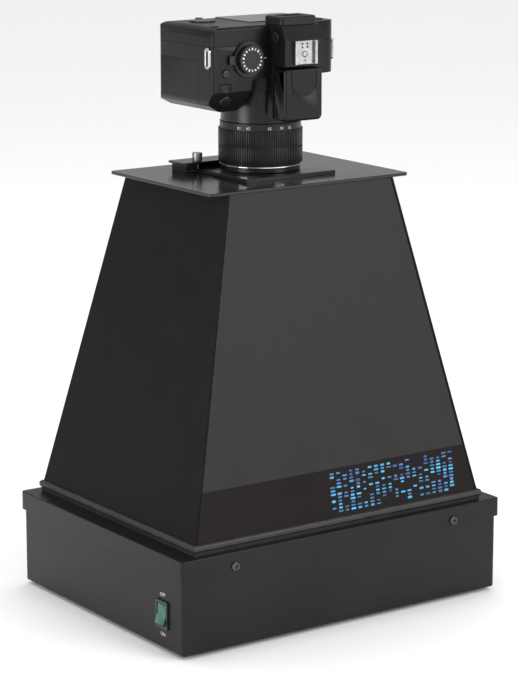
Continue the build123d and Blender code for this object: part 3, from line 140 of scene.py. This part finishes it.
floor_links.new(floor_grain.outputs["Fac"], floor_sheen.inputs["Value"])
floor_links.new(floor_sheen.outputs["Result"], floor_shader.inputs["Roughness"])
floor_mesh.materials.append(floor_paint)


# Light box sheet metal
# The tray and its skirted cover are folded from 1.5 mm steel and powder coated a fine-grained
# black. The grain is shared by every coated, moulded and rubber finish that follows.
def grain_group():
    """Fine grain and broad mottling, both from 0 to 1, over object coordinates."""
    group = bpy.data.node_groups.new("fine_grain", "ShaderNodeTree")
    sockets = group.interface
    for label, value in (("Grain size", 900.0), ("Mottle size", 14.0), ("Stretch", 1.0)):
        made = sockets.new_socket(label, in_out="INPUT", socket_type="NodeSocketFloat")
        made.default_value = value
    for label in ("Grain", "Mottle", "Both"):
        sockets.new_socket(label, in_out="OUTPUT", socket_type="NodeSocketFloat")
    nodes, links = group.nodes, group.links
    given = nodes.new("NodeGroupInput")
    put_out = nodes.new("NodeGroupOutput")
    place = nodes.new("ShaderNodeTexCoord")
    stretch = nodes.new("ShaderNodeCombineXYZ")
    stretch.inputs["Y"].default_value = 1.0
    stretch.inputs["Z"].default_value = 1.0
    links.new(given.outputs["Stretch"], stretch.inputs["X"])
    scaled = nodes.new("ShaderNodeVectorMath")
    scaled.operation = "MULTIPLY"
    links.new(place.outputs["Object"], scaled.inputs[0])
    links.new(stretch.outputs["Vector"], scaled.inputs[1])
    fine = nodes.new("ShaderNodeTexNoise")
    fine.inputs["Detail"].default_value = 2.0
    links.new(scaled.outputs["Vector"], fine.inputs["Vector"])
    links.new(given.outputs["Grain size"], fine.inputs["Scale"])
    broad = nodes.new("ShaderNodeTexNoise")
    broad.inputs["Detail"].default_value = 5.0
    broad.inputs["Roughness"].default_value = 0.6
    links.new(place.outputs["Object"], broad.inputs["Vector"])
    links.new(given.outputs["Mottle size"], broad.inputs["Scale"])
    mottle = nodes.new("ShaderNodeMapRange")
    mottle.inputs["From Min"].default_value = 0.3
    mottle.inputs["From Max"].default_value = 0.7
    links.new(broad.outputs["Fac"], mottle.inputs["Value"])
    both = nodes.new("ShaderNodeMath")
    both.operation = "MULTIPLY"
    links.new(fine.outputs["Fac"], both.inputs[0])
    links.new(mottle.outputs["Result"], both.inputs[1])
    links.new(fine.outputs["Fac"], put_out.inputs["Grain"])
    links.new(mottle.outputs["Result"], put_out.inputs["Mottle"])
    links.new(both.outputs["Value"], put_out.inputs["Both"])
    return group


fine_grain = grain_group()
smooth_join = 8  # degrees past the bevelled angle at which shading still stays smooth
print_lift = 0.00002
print_thickness = 0.00003
letter_lift = 0.00003


def grained_finish(
    name, dark, light, roughness, grain=900.0, mottle=14.0, relief=0.00004, spread=0.08, metal=0.0, gloss=0.5
):
    """A solid finish whose colour drifts from dark to light, with grain in its relief and sheen."""
    material = bpy.data.materials.new(name)
    material.use_nodes = True
    nodes, links = material.node_tree.nodes, material.node_tree.links
    shader = nodes["Principled BSDF"]
    shader.inputs["Metallic"].default_value = metal
    shader.inputs["Specular IOR Level"].default_value = gloss
    texture = nodes.new("ShaderNodeGroup")
    texture.node_tree = fine_grain
    texture.inputs["Grain size"].default_value = grain
    texture.inputs["Mottle size"].default_value = mottle
    colour = nodes.new("ShaderNodeMix")
    colour.data_type = "RGBA"
    colour.inputs["A"].default_value = (*dark, 1.0)
    colour.inputs["B"].default_value = (*light, 1.0)
    links.new(texture.outputs["Mottle"], colour.inputs["Factor"])
    links.new(colour.outputs["Result"], shader.inputs["Base Color"])
    sheen = nodes.new("ShaderNodeMapRange")
    sheen.inputs["To Min"].default_value = max(roughness - spread, 0.02)
    sheen.inputs["To Max"].default_value = min(roughness + spread, 1.0)
    links.new(texture.outputs["Both"], sheen.inputs["Value"])
    links.new(sheen.outputs["Result"], shader.inputs["Roughness"])
    bump = nodes.new("ShaderNodeBump")
    bump.inputs["Distance"].default_value = relief
    links.new(texture.outputs["Grain"], bump.inputs["Height"])
    links.new(bump.outputs["Normal"], shader.inputs["Normal"])
    return material


def coat(node, material):
    """Gives a node's own mesh its finish."""
    frame["nodes"][node].data.materials.clear()
    frame["nodes"][node].data.materials.append(material)


def body_of_node(node):
    """The body that a node belongs to."""
    return frame["nodes"][node]["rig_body"]


def seat(piece, node, material):
    """A piece that stands for a node: same body, its own finish."""
    piece.data.materials.clear()
    piece.data.materials.append(material)
    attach(piece, body_of_node(node))
    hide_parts(node)
    return piece


def eased(node, material, edge=0.0004, facets=2, sharp=32.0):
    """The node's shape, welded, with its sharp edges rounded by edge, to stand for it."""
    mesh = frame["nodes"][node].data.copy()
    mesh.name = node + "_finished"
    welded = bmesh.new()
    welded.from_mesh(mesh)
    bmesh.ops.remove_doubles(welded, verts=welded.verts, dist=0.000005)
    bmesh.ops.dissolve_limit(
        welded, angle_limit=math.radians(1.0), verts=welded.verts, edges=welded.edges, delimit={"NORMAL"}
    )
    welded.to_mesh(mesh)
    welded.free()
    piece = bpy.data.objects.new(node + "_finished", mesh)
    bpy.context.scene.collection.objects.link(piece)
    rounding = piece.modifiers.new("eased_edges", "BEVEL")
    rounding.width = edge
    rounding.segments = facets
    rounding.limit_method = "ANGLE"
    rounding.angle_limit = math.radians(sharp)
    rounding.use_clamp_overlap = True
    for face in mesh.polygons:
        face.use_smooth = True
    mesh.set_sharp_from_angle(angle=math.radians(sharp + smooth_join))
    return seat(piece, node, material)


tray_coat = grained_finish(
    "tray_powder_coat", (0.006, 0.006, 0.007), (0.010, 0.010, 0.011), 0.4, grain=1400.0, gloss=0.25
)
cover_coat = grained_finish(
    "cover_powder_coat", (0.005, 0.005, 0.006), (0.009, 0.009, 0.010), 0.34, grain=1400.0, gloss=0.25
)
eased("base_tray", tray_coat, edge=0.0003)
eased("base_cover", cover_coat, edge=0.0003)

# Cover screws
# Blackened steel pan heads with a crossed slot, through the skirt into the tray.
screw_black = grained_finish("screw_black", (0.05, 0.05, 0.05), (0.11, 0.11, 0.11), 0.35, metal=0.8, mottle=300.0)
coat("cover_screws", screw_black)

# Feet
# Self-adhesive black rubber discs under the tray's corners.
foot_rubber = grained_finish("foot_rubber", (0.012, 0.012, 0.012), (0.025, 0.025, 0.025), 0.8, grain=2200.0)
coat("rubber_feet", foot_rubber)

# Filter window
# A dark violet glass that passes ultraviolet, held under the cover by a black moulded frame.
violet_glass = grained_finish("violet_glass", (0.012, 0.006, 0.03), (0.02, 0.01, 0.045), 0.08, relief=0.0, spread=0.03)
coat("filter_glass", violet_glass)
frame_plastic = grained_finish("frame_plastic", (0.015, 0.015, 0.015), (0.028, 0.028, 0.028), 0.55)
coat("filter_frame", frame_plastic)

# Lamps
# Six ultraviolet tubes in white holders over a bright folded reflector, with two ballasts below.
bright_sheet = grained_finish("bright_sheet", (0.75, 0.76, 0.78), (0.86, 0.86, 0.88), 0.2, metal=1.0, mottle=30.0)
coat("lamp_reflector", bright_sheet)
tube_white = grained_finish("tube_white", (0.62, 0.62, 0.68), (0.74, 0.74, 0.8), 0.12, relief=0.0, spread=0.04)
coat("uv_tubes", tube_white)
holder_white = grained_finish("holder_white", (0.66, 0.65, 0.62), (0.76, 0.75, 0.72), 0.5)
coat("lamp_holders", holder_white)
ballast_paint = grained_finish("ballast_paint", (0.55, 0.55, 0.54), (0.66, 0.66, 0.65), 0.45, mottle=40.0)
coat("ballasts", ballast_paint)

# Fan and mains inlet
# Black moulded nylon: a small square fan behind the grille, and a flanged inlet with its fuse drawer.
nylon_black = grained_finish("nylon_black", (0.013, 0.013, 0.013), (0.026, 0.026, 0.026), 0.5, grain=1600.0)
for node in ("cooling_fan", "fan_rotor"):
    coat(node, nylon_black)
eased("power_inlet", nylon_black, edge=0.0003)
eased("fuse_drawer", nylon_black, edge=0.0003)

# Power switch
# A black bezel round a rocker moulded in clear green, with plain ON and OFF printed on the wall.
bezel_plastic = grained_finish("bezel_plastic", (0.012, 0.012, 0.012), (0.022, 0.022, 0.022), 0.3, grain=1800.0)
eased("switch_housing", bezel_plastic, edge=0.0003)
rocker_green = grained_finish(
    "rocker_green", (0.0, 0.1, 0.07), (0.005, 0.17, 0.12), 0.16, grain=500.0, mottle=120.0, relief=0.00001
)
rocker_shader = rocker_green.node_tree.nodes["Principled BSDF"]
rocker_shader.inputs["Transmission Weight"].default_value = 0.25
rocker_shader.inputs["Coat Weight"].default_value = 0.4
eased("switch_rocker", rocker_green, edge=0.0003)


def lettering(name, words, height, place, material, body):
    """Flat printed words, each point put on its surface by place(across, up, out)."""
    curve = bpy.data.curves.new(name, "FONT")
    curve.body = words
    curve.size = height
    curve.align_x = "CENTER"
    curve.align_y = "CENTER"
    curve.resolution_u = 3
    curve.extrude = print_thickness / 2
    drawn = bpy.data.objects.new(name + "_curve", curve)
    bpy.context.scene.collection.objects.link(drawn)
    bpy.context.view_layer.update()
    mesh = bpy.data.meshes.new_from_object(drawn.evaluated_get(bpy.context.evaluated_depsgraph_get()))
    bpy.data.objects.remove(drawn)
    mesh.name = name
    for vertex in mesh.vertices:
        vertex.co = place(vertex.co.x, vertex.co.y, vertex.co.z + letter_lift)
    mesh.materials.clear()
    mesh.materials.append(material)
    piece = bpy.data.objects.new(name, mesh)
    bpy.context.scene.collection.objects.link(piece)
    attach(piece, body)
    return piece


print_white = grained_finish("print_white", (0.55, 0.55, 0.55), (0.7, 0.7, 0.7), 0.5, relief=0.0)
wall_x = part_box("base_tray")[0].x
switch_low, switch_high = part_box("switch_housing")
switch_y = (switch_low.y + switch_high.y) / 2


def on_left_wall(z):
    """Places print on the tray's left wall, centred over the switch at height z."""
    return lambda across, up, out: Vector((wall_x - out, switch_y - across, z + up))


letter_height = 0.0042
for name, words, z in (("off_print", "OFF", switch_high.z + 0.0045), ("on_print", "ON", switch_low.z - 0.0048)):
    lettering(name, words, letter_height, on_left_wall(z), print_white, "base")

# Hood walls
# Flat black boards: a fine even grain on the front and rear, a deeper mottled hide on the sides.
front_board = grained_finish(
    "front_board",
    (0.011, 0.0105, 0.0115),
    (0.016, 0.0155, 0.0165),
    0.55,
    grain=1100.0,
    mottle=22.0,
    relief=0.00008,
    gloss=0.28,
)
side_board = grained_finish(
    "side_board",
    (0.002, 0.0018, 0.0016),
    (0.006, 0.0055, 0.005),
    0.6,
    grain=700.0,
    mottle=26.0,
    relief=0.00012,
    gloss=0.14,
)
eased("hood_front_panel", front_board, edge=0.00035)
eased("hood_rear_panel", front_board, edge=0.00035)
eased("hood_left_panel", side_board, edge=0.00035)
eased("hood_right_panel", side_board, edge=0.00035)
coat("hood_corner_angles", side_board)

# Edge seal
# Extruded rubber bead along the walls' lower edges, cut in four strips and mitred at the corners.
seal_rubber = grained_finish(
    "seal_rubber", (0.018, 0.018, 0.018), (0.03, 0.03, 0.03), 0.42, grain=1500.0, mottle=60.0, gloss=0.4
)
eased("hood_edge_seal", seal_rubber, edge=0.0002)

# Front band
# A dark satin film across the foot of the front wall. Its right part is printed with short blue bars
# in lanes, like the bands of a gel.
front_mesh = frame["nodes"]["hood_front_panel"].data
low_z = min(v.co.z for v in front_mesh.vertices)
high_z = max(v.co.z for v in front_mesh.vertices)
level = (high_z - low_z) * 0.01
low_y = min(v.co.y for v in front_mesh.vertices if v.co.z < low_z + level)
high_y = min(v.co.y for v in front_mesh.vertices if v.co.z > high_z - level)
low_x = max(v.co.x for v in front_mesh.vertices if v.co.z < low_z + level)
high_x = max(v.co.x for v in front_mesh.vertices if v.co.z > high_z - level)
up_front = Vector((0.0, high_y - low_y, high_z - low_z)).normalized()
out_front = Vector((0.0, -up_front.z, up_front.y))
band_foot_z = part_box("hood_edge_seal")[1].z
band_height = 0.0392
band_thickness = 0.00012


def on_front_wall(across, up, out):
    """A point of the front wall: across from the middle, up the slope from the seal, and out."""
    z = band_foot_z + up * up_front.z
    y = low_y + (z - low_z) / (high_z - low_z) * (high_y - low_y)
    return Vector((across, y, z)) + out_front * out


def front_half_width(up):
    """Half the front wall's width at a distance up its slope."""
    z = band_foot_z + up * up_front.z
    return low_x + (z - low_z) / (high_z - low_z) * (high_x - low_x)


film_mesh = bpy.data.meshes.new("front_band")
film_edge = 0.0004
corners = [
    (-front_half_width(0) + film_edge, 0.0),
    (front_half_width(0) - film_edge, 0.0),
    (front_half_width(band_height) - film_edge, band_height),
    (-front_half_width(band_height) + film_edge, band_height),
]
film_points = [on_front_wall(x, u, out) for out in (0.0, band_thickness) for x, u in corners]
film_faces = [(3, 2, 1, 0), (4, 5, 6, 7), (0, 1, 5, 4), (1, 2, 6, 5), (2, 3, 7, 6), (3, 0, 4, 7)]
film_mesh.from_pydata(film_points, [], film_faces)
film = bpy.data.objects.new("front_band", film_mesh)
bpy.context.scene.collection.objects.link(film)
film_brown = grained_finish(
    "film_brown",
    (0.0085, 0.006, 0.0055),
    (0.0105, 0.0075, 0.007),
    0.4,
    grain=2400.0,
    mottle=8.0,
    relief=0.00001,
    gloss=0.12,
)
film_mesh.materials.append(film_brown)
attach(film, "hood")

bar_width = 0.0050
bar_height = 0.0017
lane_pitch = 0.0064
row_pitch = 0.0028
lane_start = -0.006
bar_count_up = 12
bar_share = 0.62


def gel_bar_tree(material):
    """Lanes of short rounded bars on a grid, thinned at random, each with its own tone."""
    tree = bpy.data.node_groups.new("gel_bars", "GeometryNodeTree")
    tree.interface.new_socket("Geometry", in_out="OUTPUT", socket_type="NodeSocketGeometry")
    inputs = {}
    for label, kind, value in (
        ("Lanes", "NodeSocketInt", 18),
        ("Rows", "NodeSocketInt", bar_count_up),
        ("Lane pitch", "NodeSocketFloat", lane_pitch),
        ("Row pitch", "NodeSocketFloat", row_pitch),
        ("Bar width", "NodeSocketFloat", bar_width),
        ("Bar height", "NodeSocketFloat", bar_height),
        ("Share kept", "NodeSocketFloat", bar_share),
    ):
        made = tree.interface.new_socket(label, in_out="INPUT", socket_type=kind)
        made.default_value = value
        inputs[label] = made.identifier
    nodes, links = tree.nodes, tree.links
    given = nodes.new("NodeGroupInput")
    put_out = nodes.new("NodeGroupOutput")
    grid = nodes.new("GeometryNodeMeshGrid")
    links.new(given.outputs["Lanes"], grid.inputs["Vertices X"])
    links.new(given.outputs["Rows"], grid.inputs["Vertices Y"])
    for count, pitch, side in (("Lanes", "Lane pitch", "Size X"), ("Rows", "Row pitch", "Size Y")):
        gaps = nodes.new("ShaderNodeMath")
        gaps.operation = "SUBTRACT"
        gaps.inputs[1].default_value = 1.0
        links.new(given.outputs[count], gaps.inputs[0])
        span = nodes.new("ShaderNodeMath")
        span.operation = "MULTIPLY"
        links.new(gaps.outputs[0], span.inputs[0])
        links.new(given.outputs[pitch], span.inputs[1])
        links.new(span.outputs[0], grid.inputs[side])
    dots = nodes.new("GeometryNodeMeshToPoints")
    links.new(grid.outputs["Mesh"], dots.inputs["Mesh"])
    tone = nodes.new("FunctionNodeRandomValue")
    tone.inputs["Seed"].default_value = 11
    store = nodes.new("GeometryNodeStoreNamedAttribute")
    store.inputs["Name"].default_value = "tone"
    links.new(dots.outputs["Points"], store.inputs["Geometry"])
    links.new(tone.outputs[1], store.inputs["Value"])
    chance = nodes.new("FunctionNodeRandomValue")
    chance.inputs["Seed"].default_value = 4
    dropped = nodes.new("FunctionNodeCompare")
    dropped.operation = "GREATER_THAN"
    links.new(chance.outputs[1], dropped.inputs[0])
    links.new(given.outputs["Share kept"], dropped.inputs[1])
    thinned = nodes.new("GeometryNodeDeleteGeometry")
    links.new(store.outputs["Geometry"], thinned.inputs["Geometry"])
    links.new(dropped.outputs["Result"], thinned.inputs["Selection"])
    outline = nodes.new("GeometryNodeCurvePrimitiveQuadrilateral")
    links.new(given.outputs["Bar width"], outline.inputs["Width"])
    links.new(given.outputs["Bar height"], outline.inputs["Height"])
    rounded = nodes.new("GeometryNodeFilletCurve")
    rounded.mode = "POLY"
    rounded.inputs["Count"].default_value = 3
    rounded.inputs["Radius"].default_value = bar_height * 0.45
    links.new(outline.outputs["Curve"], rounded.inputs["Curve"])
    filled = nodes.new("GeometryNodeFillCurve")
    filled.mode = "NGONS"
    links.new(rounded.outputs["Curve"], filled.inputs["Curve"])
    thick = nodes.new("GeometryNodeExtrudeMesh")
    thick.inputs["Offset Scale"].default_value = 0.00003
    links.new(filled.outputs["Mesh"], thick.inputs["Mesh"])
    placed = nodes.new("GeometryNodeInstanceOnPoints")
    links.new(thinned.outputs["Geometry"], placed.inputs["Points"])
    links.new(thick.outputs["Mesh"], placed.inputs["Instance"])
    stretch = nodes.new("FunctionNodeRandomValue")
    stretch.data_type = "FLOAT_VECTOR"
    stretch.inputs[0].default_value = (0.55, 0.6, 1.0)
    stretch.inputs[1].default_value = (1.0, 1.15, 1.0)
    stretch.inputs["Seed"].default_value = 7
    links.new(stretch.outputs[0], placed.inputs["Scale"])
    solid = nodes.new("GeometryNodeRealizeInstances")
    links.new(placed.outputs["Instances"], solid.inputs["Geometry"])
    painted = nodes.new("GeometryNodeSetMaterial")
    painted.inputs["Material"].default_value = material
    links.new(solid.outputs["Geometry"], painted.inputs["Geometry"])
    links.new(painted.outputs["Geometry"], put_out.inputs["Geometry"])
    return tree, inputs


def gel_bar_print():
    """Printed bars from pale cyan to deep blue, by each bar's tone."""
    material = grained_finish("gel_bar_print", (0, 0, 0), (1, 1, 1), 0.4, grain=2400.0, relief=0.00001)
    nodes, links = material.node_tree.nodes, material.node_tree.links
    tone = nodes.new("ShaderNodeAttribute")
    tone.attribute_name = "tone"
    ramp = nodes.new("ShaderNodeValToRGB")
    ramp.color_ramp.interpolation = "LINEAR"
    ramp.color_ramp.elements[0].color = (0.01, 0.06, 0.2, 1.0)
    ramp.color_ramp.elements[1].color = (0.05, 0.48, 0.75, 1.0)
    middle = ramp.color_ramp.elements.new(0.6)
    middle.color = (0.04, 0.19, 0.42, 1.0)
    links.new(tone.outputs["Fac"], ramp.inputs["Fac"])
    links.new(ramp.outputs["Color"], nodes["Principled BSDF"].inputs["Base Color"])
    return material


bar_print = gel_bar_print()
bar_tree, bar_inputs = gel_bar_tree(bar_print)
bar_lanes = int((front_half_width(band_height) - 0.004 - lane_start) / lane_pitch)
bar_host = bpy.data.objects.new("gel_bar_host", bpy.data.meshes.new("gel_bar_host"))
bpy.context.scene.collection.objects.link(bar_host)
growth = bar_host.modifiers.new("gel_bars", "NODES")
growth.node_group = bar_tree
growth[bar_inputs["Lanes"]] = bar_lanes
bpy.context.view_layer.update()
bar_mesh = bpy.data.meshes.new_from_object(bar_host.evaluated_get(bpy.context.evaluated_depsgraph_get()))
bpy.data.objects.remove(bar_host)
bar_mesh.name = "gel_bars"
bar_middle_x = lane_start + (bar_lanes - 1) * lane_pitch / 2
for vertex in bar_mesh.vertices:
    vertex.co = on_front_wall(
        vertex.co.x + bar_middle_x, vertex.co.y + band_height / 2, vertex.co.z + band_thickness + 0.00001
    )
gel_bars = bpy.data.objects.new("gel_bars", bar_mesh)
bpy.context.scene.collection.objects.link(gel_bars)
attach(gel_bars, "hood")

# Top plate and camera holder
# Glossy black boards and plates, the clamp strip over its block, and bright knurled thumbscrews.
gloss_black = grained_finish(
    "gloss_black", (0.005, 0.005, 0.006), (0.008, 0.008, 0.009), 0.22, grain=300.0, mottle=10.0, relief=0.000004
)
holder_black = grained_finish(
    "holder_black", (0.005, 0.005, 0.005), (0.009, 0.009, 0.009), 0.24, grain=800.0, relief=0.00001, gloss=0.4
)
eased("top_plate", gloss_black, edge=0.0004)
for node in ("adapter_plate", "camera_plate", "clamp_block", "clamp_strip"):
    eased(node, holder_black, edge=0.0003)
coat("filter_ring", holder_black)
amber = grained_finish("amber_glass", (0.5, 0.16, 0.01), (0.6, 0.2, 0.015), 0.06, relief=0.0, spread=0.02)
amber.node_tree.nodes["Principled BSDF"].inputs["Transmission Weight"].default_value = 0.8
coat("amber_filter", amber)
thumb_steel = grained_finish(
    "thumb_steel", (0.3, 0.3, 0.3), (0.5, 0.5, 0.5), 0.3, metal=1.0, mottle=400.0, relief=0.00002
)
eased("thumbscrew_left", thumb_steel, edge=0.00015)
eased("thumbscrew_right", thumb_steel, edge=0.00015)

# Zoom lens
# Black barrel and rings round the optical axis, with a bright trim ring and a ribbed rubber grip.
lens_black = grained_finish("lens_black", (0.003, 0.003, 0.003), (0.006, 0.006, 0.006), 0.3, grain=1600.0, gloss=0.4)
rib_rubber = grained_finish(
    "rib_rubber", (0.005, 0.0045, 0.005), (0.010, 0.009, 0.0095), 0.42, grain=1500.0, gloss=0.35
)
bright_trim = grained_finish("bright_trim", (0.75, 0.75, 0.76), (0.85, 0.85, 0.86), 0.12, metal=1.0, relief=0.0)
eased("lens_barrel", lens_black)
eased("focus_ring", lens_black)
eased("trim_ring", bright_trim, edge=0.0002)
eased("zoom_ring", rib_rubber, edge=0.00015)
coat("zoom_group", lens_black)
coat("lens_mount", lens_black)
optic_glass = grained_finish("optic_glass", (0.02, 0.02, 0.03), (0.03, 0.03, 0.045), 0.04, relief=0.0, spread=0.01)
coat("lens_elements", optic_glass)

zoom_low, zoom_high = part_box("zoom_ring")
lens_axis = Vector(((zoom_low.x + zoom_high.x) / 2, (zoom_low.y + zoom_high.y) / 2, 0.0))
band_radius = 0.0332
band_drop = 0.0033
band_z = zoom_high.z - band_drop
figure_height = 0.0034


def on_zoom_band(angle):
    """Places figures on the zoom ring's smooth band, read from the camera's side."""

    def place(across, up, out):
        turn = angle - across / band_radius
        reach = band_radius + out
        return lens_axis + Vector((reach * math.sin(turn), -reach * math.cos(turn), band_z - up))

    return place


for figure, degrees in (("18", -66.0), ("24", -52.0), ("35", -22.0), ("45", -4.0), ("55", 10.0)):
    lettering(
        "zoom_figure_" + figure,
        figure,
        figure_height,
        on_zoom_band(math.radians(degrees)),
        print_white,
        "zoom_grip",
    )

# Camera body
# Black mouldings with a fine texture, a grained rubber grip, and a soft socket cover and eyecup.
body_plastic = grained_finish(
    "body_plastic",
    (0.004, 0.004, 0.004),
    (0.008, 0.0078, 0.0078),
    0.38,
    grain=1500.0,
    mottle=30.0,
    relief=0.00005,
    gloss=0.25,
)
grip_rubber = grained_finish(
    "grip_rubber",
    (0.006, 0.006, 0.006),
    (0.011, 0.011, 0.011),
    0.45,
    grain=900.0,
    mottle=30.0,
    relief=0.0001,
    gloss=0.25,
)
for node in ("camera_body", "top_cover", "rear_cover", "pop_up_flash", "battery_door"):
    eased(node, body_plastic, edge=0.0005)
for node in ("hand_grip", "eyecup", "port_cover"):
    eased(node, grip_rubber, edge=0.0005)

# Camera controls
# Satin black dials and buttons, bright strap lugs and accessory shoe, and a glossy screen window.
button_black = grained_finish(
    "button_black", (0.004, 0.004, 0.004), (0.008, 0.008, 0.008), 0.33, grain=1800.0, gloss=0.45
)
for node in (
    "mode_dial",
    "power_lever",
    "iso_button",
    "shutter_button",
    "control_wheel",
    "diopter_dial",
    "cross_keys",
    "menu_button",
    "play_button",
    "lock_button",
    "release_button",
):
    eased(node, button_black, edge=0.0002)


def flat_marks(name, outlines, place, material, body):
    """Thin printed marks: each outline is a ring of points, put on its surface by place(across, up, out)."""
    points, faces = [], []
    for outline in outlines:
        first, count = len(points), len(outline)
        points += [place(x, y, print_lift) for x, y in outline]
        points += [place(x, y, print_lift + print_thickness) for x, y in outline]
        faces.append(tuple(range(first + count - 1, first - 1, -1)))
        faces.append(tuple(range(first + count, first + 2 * count)))
        for step in range(count):
            after = (step + 1) % count
            faces.append((first + step, first + after, first + count + after, first + count + step))
    mesh = bpy.data.meshes.new(name)
    mesh.from_pydata(points, [], faces)
    mesh.materials.append(material)
    piece = bpy.data.objects.new(name, mesh)
    bpy.context.scene.collection.objects.link(piece)
    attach(piece, body)
    return piece


def bar_outline(x, y, width, height, turn=0.0):
    """Corners of a bar with its middle at x, y, turned about it."""
    across = Vector((math.cos(turn), math.sin(turn)))
    along = Vector((-math.sin(turn), math.cos(turn)))
    middle = Vector((x, y))
    halves = ((-1, -1), (1, -1), (1, 1), (-1, 1))
    return [tuple(middle + across * (a * width / 2) + along * (b * height / 2)) for a, b in halves]


dial_low, dial_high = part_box("mode_dial")
dial_middle = Vector(((dial_low.x + dial_high.x) / 2, dial_low.y, (dial_low.z + dial_high.z) / 2))


def on_dial(across, up, out):
    """Places print on the mode dial's face, which looks to the front."""
    return dial_middle + Vector((across, -out, up))


mark_ring = 0.0086
mark_count = 18
green_mark = mark_count - 3
mark_sizes = ((0.0013, 0.0019), (0.0009, 0.0016), (0.0015, 0.0013), (0.0011, 0.0018))
white_marks, green_marks = [], []
for step in range(mark_count):
    turn = 2 * math.pi * step / mark_count
    width, height = mark_sizes[step % len(mark_sizes)]
    mark = bar_outline(-mark_ring * math.sin(turn), mark_ring * math.cos(turn), width, height, turn)
    if step == green_mark:
        green_marks.append(mark)
    else:
        white_marks.append(mark)
print_green = grained_finish("print_green", (0.02, 0.3, 0.12), (0.03, 0.4, 0.16), 0.5, relief=0.0)
flat_marks("dial_marks", white_marks, on_dial, print_white, "dial")
flat_marks("dial_auto_mark", green_marks, on_dial, print_green, "dial")
button_rise = 0.001
deck_face_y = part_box("iso_button")[0].y + button_rise
index_line = [bar_outline(dial_high.x + 0.0045, dial_middle.z, 0.004, 0.0007)]
flat_marks(
    "dial_index",
    index_line,
    lambda across, up, out: Vector((across, deck_face_y - out, up)),
    print_white,
    "hood",
)

shoe_steel = grained_finish(
    "shoe_steel", (0.5, 0.5, 0.5), (0.62, 0.62, 0.61), 0.28, metal=1.0, mottle=200.0, relief=0.00001
)
eased("hot_shoe", shoe_steel, edge=0.0002)
shoe_low, shoe_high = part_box("hot_shoe")
shoe_base = 0.0008
shoe_middle = Vector(((shoe_low.x + shoe_high.x) / 2, shoe_high.y - shoe_base, (shoe_low.z + shoe_high.z) / 2))
contact_dark = grained_finish("contact_dark", (0.004, 0.004, 0.004), (0.008, 0.008, 0.008), 0.5)


def disc_outline(x, y, radius, count=20):
    """Points round a circle."""
    turns = [2 * math.pi * step / count for step in range(count)]
    return [(x + radius * math.cos(turn), y + radius * math.sin(turn)) for turn in turns]


contacts = [disc_outline(0.0, -0.0012, 0.0026), disc_outline(0.0, -0.0062, 0.0006)]
contacts += [disc_outline(side * 0.0024, 0.0042 + rise, 0.0009) for side in (-1, 1) for rise in (0.0, 0.0026)]
flat_marks(
    "shoe_contacts",
    contacts,
    lambda across, up, out: shoe_middle + Vector((across, -out, up)),
    contact_dark,
    "hood",
)
contact_rise = 0.00005
flat_marks(
    "shoe_centre_contact",
    [disc_outline(0.0, -0.0012, 0.0019)],
    lambda across, up, out: shoe_middle + Vector((across, -out - contact_rise, up)),
    shoe_steel,
    "hood",
)
eased("strap_lugs", shoe_steel, edge=0.0004)
screen_gloss = grained_finish("screen_gloss", (0.01, 0.01, 0.012), (0.014, 0.014, 0.017), 0.08, relief=0.0, spread=0.03)
eased("screen_window", screen_gloss, edge=0.0003)
